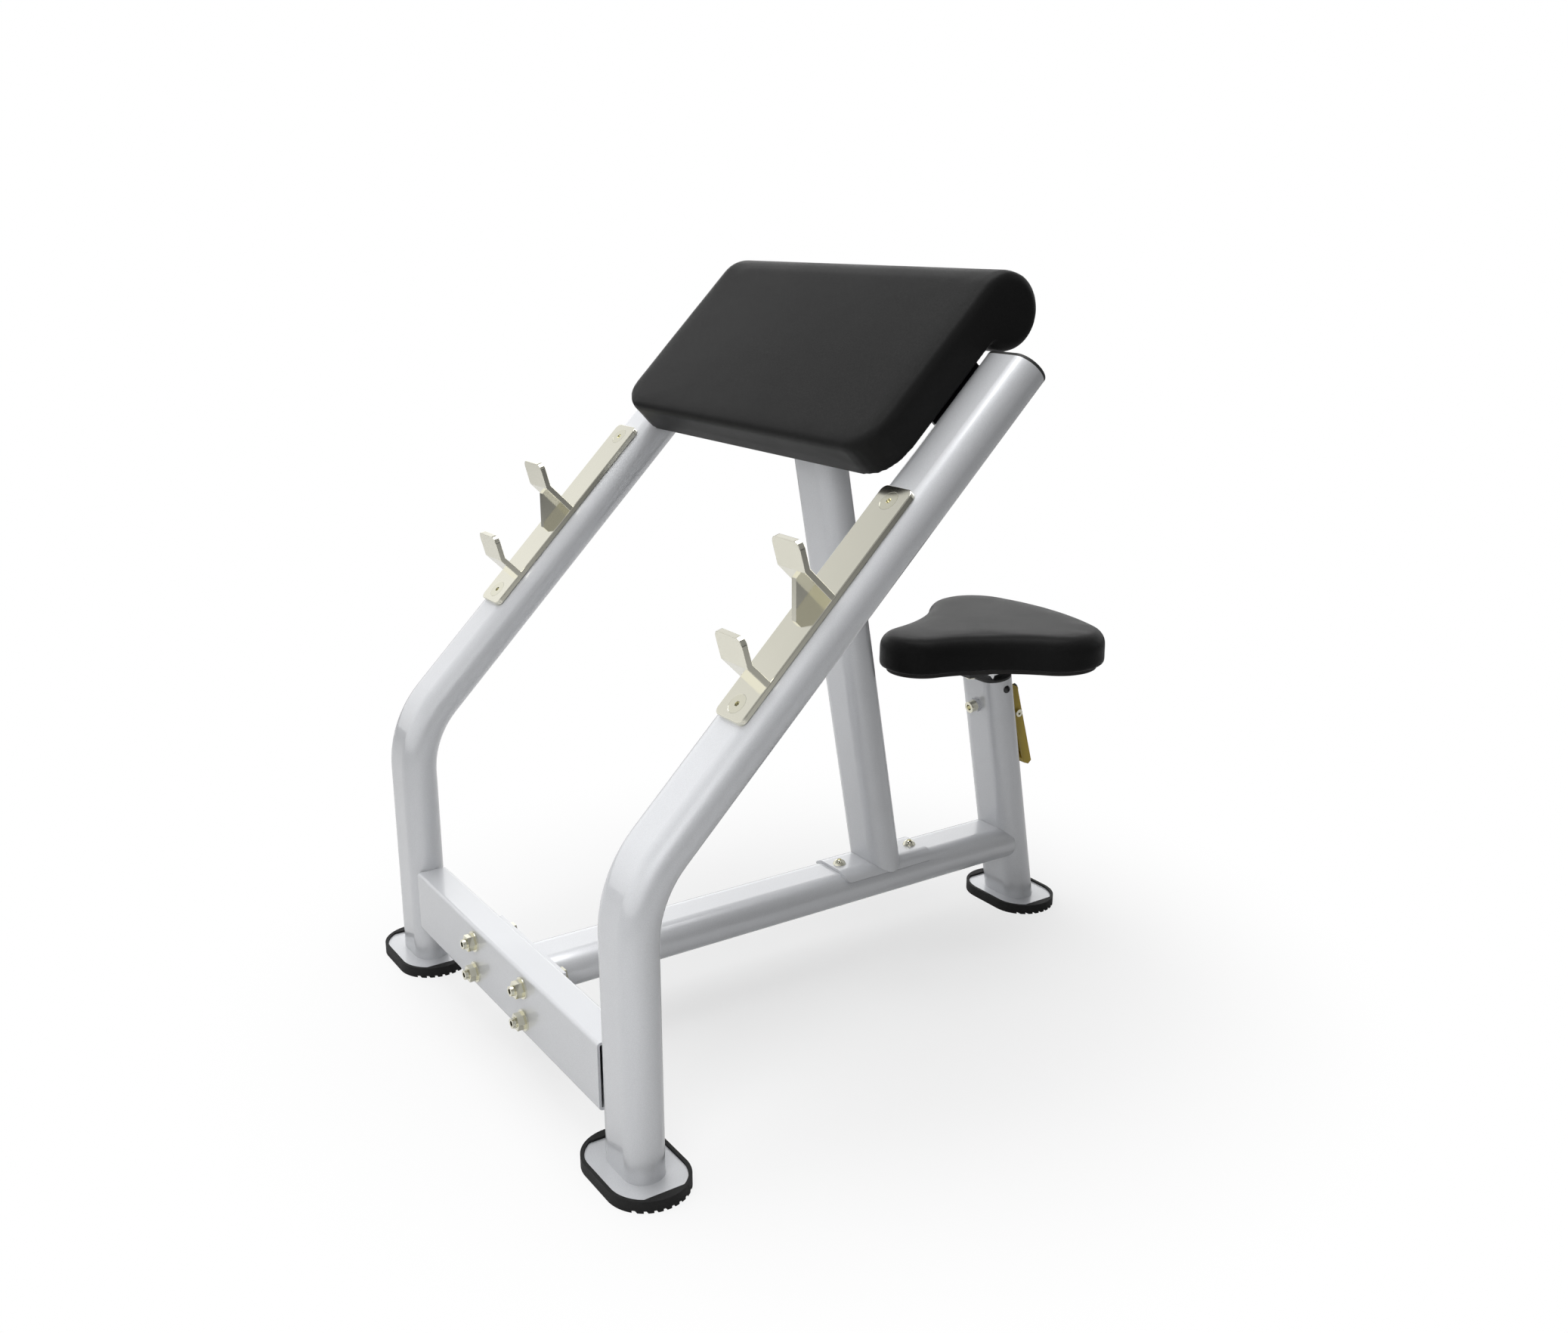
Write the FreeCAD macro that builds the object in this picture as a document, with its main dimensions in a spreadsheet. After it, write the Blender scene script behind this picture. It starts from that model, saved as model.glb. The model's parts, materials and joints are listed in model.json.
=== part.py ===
import FreeCAD, Part
import math
import os
from types import SimpleNamespace

import Sketcher
from FreeCAD import Placement, Rotation, Vector

# Driving dimensions, in millimetres and degrees. X runs across the bench, Y from the bar rack
# to the seat, Z up from the floor.
SIZES = {
    # Flat-oval tube of the uprights, the posts and the base beam
    "tube_width": 80.0,
    "tube_thick": 46.0,
    "tube_wall": 3.0,
    "weld_gap": 0.2,
    # Uprights
    "upright_x": 298.0,
    "bend_height": 324.2,
    "bend_radius": 130.0,
    "incline_angle": 45.0,
    "incline_length": 686.0,
    "cap_thick": 4.0,
    "cap_plug": 12.0,
    "cap_round": 1.5,
    "fit_gap": 0.3,
    # Feet
    "foot_length": 144.0,
    "foot_width": 93.5,
    "boot_height": 13.6,
    "boot_floor": 6.0,
    "boot_wall": 4.0,
    "boot_end_wall": 11.0,
    "groove_width": 4.0,
    "groove_depth": 2.5,
    "groove_pitch": 9.5,
    "foot_plate_thick": 5.0,
    # Crossbeam and base beam
    "crossbeam_height": 80.0,
    "crossbeam_depth": 40.0,
    "crossbeam_wall": 3.0,
    "crossbeam_round": 4.0,
    "crossbeam_bore_round": 2.0,
    "beam_z": 100.0,
    "beam_setback": 12.5,
    "flange_width": 180.0,
    "flange_height": 70.0,
    "flange_thick": 6.0,
    "flange_bolt_x": 70.0,
    "flange_bolt_z": 20.5,
    "flange_bolt_radius": 6.0,
    "flange_head_height": 7.5,
    "flange_nut_radius": 10.5,
    "flange_nut_height": 9.0,
    "flange_washer_radius": 13.0,
    "flange_washer_thick": 2.0,
    "flange_bolt_end": 5.0,
    "flange_bolt_hollow": 3.6,
    "bolt_gap": 0.2,
    # Center post and its saddle
    "post_tilt": 9.8,
    "post_spacing": 248.3,
    "saddle_length": 148.0,
    "saddle_thick": 3.5,
    "saddle_end_angle": 34.0,
    "saddle_corner": 8.0,
    "saddle_bolt_inset": 14.0,
    "saddle_bolt_radius": 5.0,
    "saddle_head_radius": 9.0,
    "saddle_head_height": 6.5,
    "saddle_socket": 3.0,
    "saddle_socket_depth": 3.0,
    "saddle_nut_radius": 9.5,
    "saddle_nut_height": 8.0,
    "saddle_bolt_end": 3.0,
    # Bar rack
    "rack_below_pad": 7.0,
    "rack_length": 302.0,
    "rack_width": 50.0,
    "rack_thick": 6.0,
    "rack_round": 8.0,
    "rack_edge": 1.2,
    "rack_screw_inset": 18.5,
    "rack_screw_radius": 5.0,
    "rack_screw_head": 11.5,
    "rack_screw_depth": 4.0,
    "rack_screw_length": 22.0,
    "rack_screw_socket": 3.4,
    "hook_thick": 7.0,
    "hook_bend": 30.0,
    "hook_tip": 33.0,
    "hook_tip_round": 9.0,
    "hook_edge": 0.7,
    "lower_hook_up": 46.0,
    "lower_hook_arm": 32.0,
    "upper_hook_up": 157.0,
    "upper_hook_arm": 46.0,
    "gusset_leg": 36.5,
    "gusset_thick": 8.0,
    "gusset_blunt": 4.5,
    # Arm pad
    "pad_lift": 2.1,
    "pad_side": 25.5,
    "pad_length": 233.5,
    "pad_thick": 50.0,
    "pad_corner": 44.0,
    "pad_edge": 12.5,
    "pad_under_edge": 1.5,
    "pad_crown": 2.5,
    "pad_end_crown": 0.3,
    "pad_roll_clear": 3.5,
    "pad_roll_radius": 44.0,
    "pad_board_margin": 24.0,
    "pad_board_front": 30.0,
    "pad_board_thick": 12.0,
    "pad_plate_width": 150.0,
    "pad_plate_length": 130.0,
    "pad_plate_thick": 5.0,
    "pad_plate_inset": 6.7,
    "bracket_inset": 16.4,
    "bracket_length": 84.0,
    "bracket_leg": 52.0,
    "bracket_drop": 38.0,
    "bracket_thick": 4.0,
    "pad_screw_radius": 4.0,
    "pad_screw_head": 7.0,
    "pad_screw_head_height": 4.5,
    "pad_screw_bite": 9.0,
    "pad_screw_inset": 16.0,
    # Seat post and its sleeve
    "seat_post_length": 358.5,
    "sleeve_depth": 60.0,
    "sleeve_rim": 3.0,
    "sleeve_wall": 4.45,
    "sleeve_corner_wall": 0.85,
    "sleeve_screw_drop": 13.5,
    "sleeve_screw_radius": 3.0,
    "sleeve_screw_head": 5.5,
    "sleeve_screw_height": 4.0,
    "sleeve_screw_socket": 2.0,
    "sleeve_screw_socket_depth": 2.0,
    "guide_nut_radius": 10.0,
    "guide_nut_height": 5.0,
    "guide_head_radius": 8.0,
    "guide_head_height": 10.0,
    "guide_socket": 4.6,
    "guide_socket_depth": 6.0,
    # Seat
    "inner_wall": 2.5,
    "inner_round": 3.0,
    "inner_bore_round": 0.8,
    "slide_gap": 0.25,
    "seat_travel": 120.0,
    "seat_overlap": 105.0,
    "hole_pitch": 20.0,
    "seat_gap": 21.5,
    "seat_plate_width": 120.0,
    "seat_plate_length": 160.0,
    "seat_plate_thick": 5.0,
    "seat_screw_radius": 4.0,
    "seat_screw_head": 7.0,
    "seat_screw_head_height": 4.5,
    "seat_screw_bite": 5.0,
    "seat_screw_inset": 14.0,
    "seat_board_thick": 6.5,
    "seat_board_inset": 10.0,
    "seat_nose_ahead": 117.5,
    "seat_nose_radius": 55.0,
    "seat_lobe_x": 80.8,
    "seat_lobe_behind": 50.5,
    "seat_lobe_radius": 69.4,
    "seat_side_radius": 231.0,
    "seat_back_radius": 347.0,
    "cushion_thick": 46.0,
    "cushion_crown": 0.4,
    "cushion_crown_inset": 42.0,
    "cushion_edge": 19.5,
    "cushion_under_inset": 3.0,
    "cushion_under_edge": 6.0,
    # Squeeze lever and locking pin
    "pin_drop": 38.5,
    "pin_radius": 5.0,
    "pin_reach": 3.0,
    "pin_run_gap": 0.1,
    "pin_collar_gap": 0.2,
    "pin_collar_length": 2.5,
    "pin_neck_radius": 3.0,
    "pin_head_radius": 7.0,
    "pin_head_length": 4.4,
    "pin_head_gap": 1.0,
    "guide_radius": 9.0,
    "guide_bore_radius": 7.0,
    "guide_length": 15.0,
    "guide_end_wall": 2.0,
    "spring_gap": 0.6,
    "spring_bore_radius": 3.8,
    "pivot_drop": 70.5,
    "pivot_behind": 15.5,
    "lever_lean": 6.0,
    "lever_side_gap": 1.5,
    "lever_wall": 2.5,
    "lever_back": 8.0,
    "lever_upper": 46.0,
    "lever_lower": 86.0,
    "lever_front_low": 5.7,
    "lever_front_waist": 7.5,
    "lever_front_high": 6.0,
    "lever_waist": 21.0,
    "lever_chamfer": 8.0,
    "lever_tip_behind": 1.5,
    "lever_tip_back": 3.0,
    "lever_tip_front": 5.5,
    "lever_foot": 6.0,
    "lever_hole_radius": 5.0,
    "bracket_round": 5.0,
    "pivot_radius": 3.0,
    "pivot_run_gap": 0.06,
    "pivot_head_radius": 5.5,
    "pivot_head_height": 3.5,
    "pivot_nut_radius": 5.8,
    "pivot_nut_height": 5.0,
    "pivot_socket": 2.6,
    "pivot_socket_depth": 2.0,
}


class Size:
    """A number together with the sheet expression that gives it."""

    def __init__(self, number, text):
        self.number = float(number)
        self.text = text

    def __float__(self):
        return self.number

    def __add__(self, other):
        other = as_size(other)
        return Size(self.number + other.number, f"({self.text} + {other.text})")

    def __sub__(self, other):
        other = as_size(other)
        return Size(self.number - other.number, f"({self.text} - {other.text})")

    def __mul__(self, other):
        other = as_size(other)
        return Size(self.number * other.number, f"({self.text} * {other.text})")

    def __truediv__(self, other):
        other = as_size(other)
        return Size(self.number / other.number, f"({self.text} / {other.text})")

    def __neg__(self):
        return Size(-self.number, f"(-1 * {self.text})")

    def __radd__(self, other):
        return as_size(other) + self

    def __rsub__(self, other):
        return as_size(other) - self

    def __rmul__(self, other):
        return as_size(other) * self


def as_size(value):
    return value if isinstance(value, Size) else Size(value, f"({value!r})")


def sine(angle):
    return Size(math.sin(math.radians(angle.number)), f"sin({angle.text})")


def cosine(angle):
    return Size(math.cos(math.radians(angle.number)), f"cos({angle.text})")


def tangent(angle):
    return Size(math.tan(math.radians(angle.number)), f"tan({angle.text})")


def root(size):
    return Size(math.sqrt(size.number), f"sqrt({size.text})")


doc = FreeCAD.newDocument("PreacherBench")
sheet = doc.addObject("Spreadsheet::Sheet", "Sizes")
for row, (alias, number) in enumerate(SIZES.items(), 1):
    sheet.set(f"A{row}", alias.replace("_", " "))
    sheet.set(f"B{row}", str(number))
    sheet.setAlias(f"B{row}", alias)
doc.recompute()
d = SimpleNamespace(**{alias: Size(sheet.get(alias), f"Sizes.{alias}") for alias in SIZES})
nodes = []


# Sketches

def sketch_on(body, role, offset=None):
    plane = next(item for item in body.Origin.OriginFeatures if item.Role == role)
    sketch = body.newObject("Sketcher::SketchObject", f"{body.Name}_profile")
    sketch.AttachmentSupport = [(plane, "")]
    sketch.MapMode = "FlatFace"
    if offset is not None:
        sketch.setExpression("AttachmentOffset.Base.z", offset.text)
    return sketch


def dimension(sketch, kind, *target):
    size = as_size(target[-1])
    index = sketch.addConstraint(Sketcher.Constraint(kind, *target[:-1], size.number))
    sketch.setExpression(f"Constraints[{index}]", size.text)


def arc_between(start, end, radius, turn):
    """The arc from start to end that turns left (+1) or right (-1), of under a half circle."""
    chord = end - start
    side = Vector(-chord.y, chord.x, 0) * (turn / chord.Length)
    rise = math.sqrt(max(radius ** 2 - chord.Length ** 2 / 4, 0.0))
    center = start + chord * 0.5 + side * rise
    first, last = (start, end) if turn > 0 else (end, start)
    angle = [math.atan2(point.y - center.y, point.x - center.x) for point in (first, last)]
    return Part.ArcOfCircle(Part.Circle(center, Vector(0, 0, 1), radius), *angle)


def outline(sketch, corners, closed=True):
    """Draw edges from corner to corner. A corner (x, y) starts a straight edge and a corner
    (x, y, radius, turn) starts an arc that turns left (+1) or right (-1)."""
    points = [Vector(float(corner[0]), float(corner[1]), 0) for corner in corners]
    count = len(corners) if closed else len(corners) - 1
    ends = []
    for index in range(count):
        corner = corners[index]
        following = (index + 1) % len(corners)
        if len(corner) == 2:
            edge = sketch.addGeometry(Part.LineSegment(points[index], points[following]))
            ends.append((edge, 1, 2))
        else:
            radius, turn = corner[2:]
            arc = arc_between(points[index], points[following], float(radius), turn)
            edge = sketch.addGeometry(arc)
            ends.append((edge, 1, 2) if turn > 0 else (edge, 2, 1))
            dimension(sketch, "Radius", edge, radius)
    for index, (edge, first, last) in enumerate(ends):
        dimension(sketch, "DistanceX", edge, first, corners[index][0])
        dimension(sketch, "DistanceY", edge, first, corners[index][1])
        if closed or index + 1 < count:
            after, start, _ = ends[(index + 1) % count]
            sketch.addConstraint(Sketcher.Constraint("Coincident", edge, last, after, start))
    if not closed:
        edge, _, last = ends[-1]
        dimension(sketch, "DistanceX", edge, last, corners[-1][0])
        dimension(sketch, "DistanceY", edge, last, corners[-1][1])


def rectangle(sketch, low_x, low_y, high_x, high_y):
    outline(sketch, [(low_x, low_y), (high_x, low_y), (high_x, high_y), (low_x, high_y)])


def rounded_rectangle(sketch, width, height, radius):
    x = width / 2
    y = height / 2
    outline(sketch, [
        (radius - x, -y), (x - radius, -y, radius, 1), (x, radius - y), (x, y - radius, radius, 1),
        (x - radius, y), (radius - x, y, radius, 1), (-x, y - radius), (-x, radius - y, radius, 1),
    ])


def capped_slot(sketch, width, thick, length):
    """A slot whose round ends are cut straight at a shorter length."""
    radius = thick / 2
    middle = (width - thick) / 2
    end = length / 2
    half_chord = root(radius * radius - (end - middle) * (end - middle))
    outline(sketch, [
        (-middle, -radius), (middle, -radius, radius, 1), (end, -half_chord),
        (end, half_chord, radius, 1), (middle, radius), (-middle, radius, radius, 1),
        (-end, half_chord), (-end, -half_chord, radius, 1),
    ])


def slot(sketch, width, thick):
    """A flat oval centred on the sketch's origin, its flats along the first axis."""
    radius = thick / 2
    middle = (width - thick) / 2
    low, high = Vector(-float(middle), -float(radius), 0), Vector(float(middle), -float(radius), 0)
    quarter = math.pi / 2
    axis = Vector(0, 0, 1)
    right = Part.Circle(Vector(float(middle), 0, 0), axis, float(radius))
    left = Part.Circle(Vector(-float(middle), 0, 0), axis, float(radius))
    edges = [
        sketch.addGeometry(Part.LineSegment(low, high)),
        sketch.addGeometry(Part.ArcOfCircle(right, -quarter, quarter)),
        sketch.addGeometry(Part.LineSegment(-low, -high)),
        sketch.addGeometry(Part.ArcOfCircle(left, quarter, 3 * quarter)),
    ]
    for edge, after in zip(edges, edges[1:] + edges[:1]):
        sketch.addConstraint(Sketcher.Constraint("Tangent", edge, 2, after, 1))
    sketch.addConstraint(Sketcher.Constraint("Horizontal", edges[0]))
    dimension(sketch, "Radius", edges[1], radius)
    dimension(sketch, "DistanceX", edges[1], 3, middle)
    dimension(sketch, "DistanceX", edges[3], 3, -middle)
    dimension(sketch, "DistanceY", edges[1], 3, 0.0)


def circle(sketch, x, y, radius):
    center = Vector(float(as_size(x)), float(as_size(y)), 0)
    edge = sketch.addGeometry(Part.Circle(center, Vector(0, 0, 1), float(radius)))
    dimension(sketch, "DistanceX", edge, 3, x)
    dimension(sketch, "DistanceY", edge, 3, y)
    dimension(sketch, "Radius", edge, radius)


def tube_profile(sketch):
    slot(sketch, d.tube_width, d.tube_thick)
    slot(sketch, d.tube_width - 2 * d.tube_wall, d.tube_thick - 2 * d.tube_wall)


# Features and solids

def new_body(name, placement):
    body = doc.addObject("PartDesign::Body", name)
    body.Placement = placement
    return body


def pad(body, sketch, length, side="One side", reverse=False):
    feature = body.newObject("PartDesign::Pad", f"{body.Name}_pad")
    feature.Profile = sketch
    feature.SideType = side
    feature.Reversed = reverse
    feature.setExpression("Length", length.text)
    return feature


def pocket(body, sketch, length=None, side="Symmetric"):
    feature = body.newObject("PartDesign::Pocket", f"{body.Name}_pocket")
    feature.Profile = sketch
    feature.SideType = side
    if length is None:
        feature.Type = "ThroughAll"
    else:
        feature.setExpression("Length", length.text)
    return feature


def fillet(body, base, radius, chosen):
    doc.recompute()
    names = [f"Edge{i}" for i, edge in enumerate(base.Shape.Edges, 1) if chosen(edge)]
    feature = body.newObject("PartDesign::Fillet", f"{body.Name}_fillet")
    feature.Base = (base, names)
    feature.setExpression("Radius", radius.text)
    return feature


def solid(kind, name, placement, **sizes):
    made = doc.addObject(f"Part::{kind}", name)
    for prop, size in sizes.items():
        made.setExpression(prop, as_size(size).text)
    made.Placement = placement
    return made


def cylinder(name, frame, radius, low, high):
    """A cylinder on the frame's Z axis between two heights."""
    return solid("Cylinder", name, lifted(frame, low), Radius=radius, Height=high - low)


def hexagon(name, frame, radius, low, high):
    return solid("Prism", name, lifted(frame, low), Circumradius=radius, Height=high - low)


def lifted(frame, height):
    return frame.multiply(Placement(Vector(0, 0, float(height)), Rotation()))


def fused(name, shapes):
    made = doc.addObject("Part::MultiFuse", name)
    made.Shapes = shapes
    return made


def cut(name, base, tool):
    made = doc.addObject("Part::Cut", name)
    made.Base = base
    made.Tool = tool
    return made


def grouped(name, shapes):
    made = doc.addObject("Part::Compound", name)
    made.Links = shapes
    return made


def keep(piece):
    nodes.append(piece)
    return piece


# Heights, places and frames that follow from the driving dimensions

zero = as_size(0.0)
overcut = as_size(1.0)
foot_top = d.boot_floor + d.foot_plate_thick
tube_face = d.tube_thick / 2
saddle_under = tube_face + d.weld_gap
saddle_top = d.beam_z + saddle_under + d.saddle_thick
rack_face = tube_face + d.rack_thick
tilt_sine = sine(d.post_tilt)
tilt_cosine = cosine(d.post_tilt)
lean_sine = sine(d.incline_angle)
lean_cosine = cosine(d.incline_angle)

pad_under = tube_face + d.pad_lift
pad_top = pad_under + d.pad_thick
pad_width = 2 * (d.upright_x - d.pad_side)
roll_level = pad_top - d.pad_roll_radius
roll_at = d.incline_length + d.cap_thick + d.pad_roll_clear + d.pad_roll_radius
roll_drop = roll_level - pad_under
roll_notch = roll_at - root(d.pad_roll_radius * d.pad_roll_radius - roll_drop * roll_drop)
pad_low = roll_at - d.pad_length
board_start = pad_low + d.pad_board_front
board_end = roll_notch - d.pad_under_edge
bracket_at = board_end - d.bracket_inset - d.bracket_length / 2
plate_middle = board_end - d.pad_plate_inset - d.pad_plate_length / 2
plate_under = pad_under - d.pad_plate_thick
rack_middle = pad_low - d.rack_below_pad - d.rack_length / 2
rack_low = rack_middle - d.rack_length / 2

post_top_y = plate_middle * lean_sine - plate_under * lean_cosine
post_top_z = d.bend_height + plate_middle * lean_cosine + plate_under * lean_sine
center_post_y = post_top_y + (post_top_z - d.beam_z) * tangent(d.post_tilt)
seat_post_y = center_post_y + d.post_spacing

seat_plate_under = d.seat_post_length * tilt_cosine + d.seat_gap
seat_tube_top = seat_plate_under / tilt_cosine
seat_axis_y = seat_post_y - seat_tube_top * tilt_sine
seat_board_under = seat_plate_under + d.seat_plate_thick
cushion_under = seat_board_under + d.seat_board_thick
back_reach = d.seat_back_radius - d.seat_lobe_radius
back_center = d.seat_lobe_behind - root(back_reach * back_reach - d.seat_lobe_x * d.seat_lobe_x)
seat_rear = seat_axis_y + back_center + d.seat_back_radius
middle_y = (seat_rear - d.foot_width / 2) / 2

pin_at = d.seat_post_length - d.pin_drop
pivot_at = d.seat_post_length - d.pivot_drop
pivot_y = tube_face + d.pivot_behind

along_x = Vector(1, 0, 0)
to_rear = Rotation(along_x, -90)
to_front = Rotation(along_x, 90)
to_right = Rotation(Vector(0, 1, 0), 90)
to_left = Rotation(Vector(0, 1, 0), -90)


def at(x, y, z, rotation=Rotation()):
    return Placement(Vector(float(x), float(y) - float(middle_y), float(z)), rotation)


def within(frame, x, y, z, rotation=Rotation()):
    return frame.multiply(Placement(Vector(float(x), float(y), float(z)), rotation))


def incline_frame(x):
    """Y runs up the inclined tube and Z stands off its upper face."""
    return at(x, 0, d.bend_height, Rotation(along_x, 90 - float(d.incline_angle)))


seat_frame = at(0, seat_post_y, 0, Rotation(along_x, float(d.post_tilt)))
center_frame = at(0, center_post_y, d.beam_z, Rotation(along_x, float(d.post_tilt)))
sides = {"left": -d.upright_x, "right": d.upright_x}


# Fasteners: the seat of the head is the frame's origin and the shank runs down its Z axis

def hollow(name, piece, frame, radius, depth):
    return cut(name, piece, hexagon(f"{name}_socket", frame, radius, -depth, overcut))


def hex_bolt(name, frame, radius, length, head_radius, head_height):
    return fused(name, [
        hexagon(f"{name}_head", frame, head_radius, zero, head_height),
        cylinder(f"{name}_shank", frame, radius, -length, zero),
    ])


def round_bolt(name, frame, radius, length, head_radius, head_height, socket, socket_depth):
    whole = fused(f"{name}_whole", [
        cylinder(f"{name}_head", frame, head_radius, zero, head_height),
        cylinder(f"{name}_shank", frame, radius, -length, zero),
    ])
    return hollow(name, whole, lifted(frame, head_height), socket, socket_depth)


def dome_bolt(name, frame, radius, length, head_radius, head_height, socket, socket_depth):
    ball = (head_radius * head_radius + head_height * head_height) / (2 * head_height)
    sunk = ball - head_height
    rise = math.degrees(math.asin(float(sunk) / float(ball)))
    cap = solid("Sphere", f"{name}_head", lifted(frame, -sunk), Radius=ball, Angle1=rise)
    whole = fused(f"{name}_whole", [cap, cylinder(f"{name}_shank", frame, radius, -length, zero)])
    return hollow(name, whole, lifted(frame, head_height), socket, socket_depth)


def nut(name, frame, bolt_radius, radius, height):
    return cut(
        name, hexagon(f"{name}_block", frame, radius, zero, height),
        cylinder(f"{name}_bore", frame, bolt_radius + d.bolt_gap, -overcut, height + overcut))


def washer(name, frame, bolt_radius, radius, thick):
    return cut(
        name, cylinder(f"{name}_disc", frame, radius, zero, thick),
        cylinder(f"{name}_bore", frame, bolt_radius + d.bolt_gap, -overcut, thick + overcut))


# Uprights, with threaded holes for the rack screws, and their end caps

def rack_screw_places(side):
    frame = incline_frame(sides[side])
    from_middle = d.rack_length / 2 - d.rack_screw_inset
    for end in (-1, 1):
        yield end, within(frame, 0, rack_middle + from_middle * end, rack_face)


def flat_screw(name, frame, gap):
    """A flat-head screw, its head flush with the frame's origin."""
    return fused(name, [
        solid("Cone", f"{name}_head", lifted(frame, -d.rack_screw_depth),
              Radius1=d.rack_screw_radius + gap, Radius2=d.rack_screw_head + gap,
              Height=d.rack_screw_depth),
        cylinder(f"{name}_shank", frame, d.rack_screw_radius + gap,
                 -d.rack_screw_length, -d.rack_screw_depth / 2),
    ])


def make_upright(side):
    name = f"{side}_upright"
    tube = new_body(f"{name}_tube", at(sides[side], 0, foot_top))
    bend = d.bend_height - foot_top
    setback = d.bend_radius * tangent(d.incline_angle / 2)
    spine = sketch_on(tube, "YZ_Plane")
    outline(spine, [
        (zero, zero),
        (zero, bend - setback, d.bend_radius, -1),
        (setback * lean_sine, bend + setback * lean_cosine),
        (d.incline_length * lean_sine, bend + d.incline_length * lean_cosine),
    ], closed=False)
    profile = sketch_on(tube, "XY_Plane")
    tube_profile(profile)
    sweep = tube.newObject("PartDesign::AdditivePipe", f"{name}_sweep")
    sweep.Profile = profile
    sweep.Spine = (spine, [])
    holes = [
        cylinder(f"{name}_hole", frame, d.rack_screw_radius + d.bolt_gap, -d.rack_screw_length, zero)
        for _, frame in rack_screw_places(side)
    ]
    keep(cut(name, tube, fused(f"{name}_holes", holes)))


def make_end_cap(side):
    top = at(
        sides[side], d.incline_length * lean_sine,
        d.bend_height + d.incline_length * lean_cosine,
        Rotation(along_x, -float(d.incline_angle)))
    cap = new_body(f"{side}_end_cap", top)
    plug = sketch_on(cap, "XY_Plane")
    margin = 2 * (d.tube_wall + d.fit_gap)
    slot(plug, d.tube_width - margin, d.tube_thick - margin)
    pad(cap, plug, d.cap_plug, reverse=True)
    lid = sketch_on(cap, "XY_Plane")
    slot(lid, d.tube_width, d.tube_thick)
    top_face = pad(cap, lid, d.cap_thick)
    height = float(d.cap_thick)
    fillet(cap, top_face, d.cap_round, lambda edge: edge.BoundBox.ZMin > height - 0.01)
    keep(cap)


# Feet: a steel plate in a rubber boot with a grooved sole

foot_places = {
    "left": (sides["left"], zero),
    "right": (sides["right"], zero),
    "rear": (zero, seat_post_y),
}
recess_width = d.foot_length - 2 * d.boot_wall
recess_thick = d.foot_width - 2 * d.boot_wall
recess_length = d.foot_length - 2 * d.boot_end_wall
GROOVE_PAIRS = 4


def make_foot(place):
    x, y = foot_places[place]
    boot = new_body(f"{place}_rubber_foot", at(x, y, 0))
    sole = sketch_on(boot, "XY_Plane")
    slot(sole, d.foot_length, d.foot_width)
    pad(boot, sole, d.boot_height)
    recess = sketch_on(boot, "XY_Plane", d.boot_height)
    capped_slot(recess, recess_width, recess_thick, recess_length)
    pocket(boot, recess, d.boot_height - d.boot_floor, "One side")
    grooves = sketch_on(boot, "YZ_Plane")
    for pair in range(GROOVE_PAIRS):
        near = d.groove_pitch * (pair + 0.5) - d.groove_width / 2
        far = near + d.groove_width
        rectangle(grooves, near, -d.groove_depth, far, d.groove_depth)
        rectangle(grooves, -far, -d.groove_depth, -near, d.groove_depth)
    pocket(boot, grooves)
    keep(boot)
    plate = new_body(f"{place}_foot_plate", at(x, y, d.boot_floor))
    rim = sketch_on(plate, "XY_Plane")
    gap = 2 * d.fit_gap
    capped_slot(rim, recess_width - gap, recess_thick - gap, recess_length - gap)
    pad(plate, rim, d.foot_plate_thick)
    keep(plate)


# Crossbeam, base beam and the bolted flange between them

flange_bolt_places = [
    (d.flange_bolt_x * x, d.flange_bolt_z * z) for x in (-1, 1) for z in (-1, 1)
]
beam_start = d.crossbeam_depth / 2 + d.flange_thick
saddle_y = center_post_y - (saddle_top - d.beam_z) * tangent(d.post_tilt)
saddle_bolt_reach = d.saddle_length / 2 - d.saddle_bolt_inset
saddle_bolt_places = [saddle_y + saddle_bolt_reach * end for end in (-1, 1)]


def make_crossbeam():
    beam = new_body("front_crossbeam", at(0, 0, d.beam_z))
    section = sketch_on(beam, "YZ_Plane")
    rounded_rectangle(section, d.crossbeam_depth, d.crossbeam_height, d.crossbeam_round)
    wall = 2 * d.crossbeam_wall
    rounded_rectangle(
        section, d.crossbeam_depth - wall, d.crossbeam_height - wall, d.crossbeam_bore_round)
    pad(beam, section, 2 * d.upright_x - d.tube_width - 2 * d.weld_gap, "Symmetric")
    holes = sketch_on(beam, "XZ_Plane")
    for x, z in flange_bolt_places:
        circle(holes, x, z, d.flange_bolt_radius + d.bolt_gap)
    pocket(beam, holes)
    keep(beam)


def make_base_beam():
    tube = new_body("base_beam_tube", at(0, beam_start, d.beam_z, to_rear))
    section = sketch_on(tube, "XY_Plane")
    tube_profile(section)
    end = seat_post_y - d.beam_z * tangent(d.post_tilt) - d.beam_setback
    pad(tube, section, end - beam_start)
    holes = sketch_on(tube, "XZ_Plane")
    for y in saddle_bolt_places:
        circle(holes, zero, y - beam_start, d.saddle_bolt_radius + d.bolt_gap)
    pocket(tube, holes)
    envelope = new_body("seat_post_envelope", seat_frame)
    shape = sketch_on(envelope, "XY_Plane")
    slot(shape, d.tube_width + 2 * d.weld_gap, d.tube_thick + 2 * d.weld_gap)
    pad(envelope, shape, d.seat_post_length)
    keep(cut("base_beam", tube, envelope))


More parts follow.
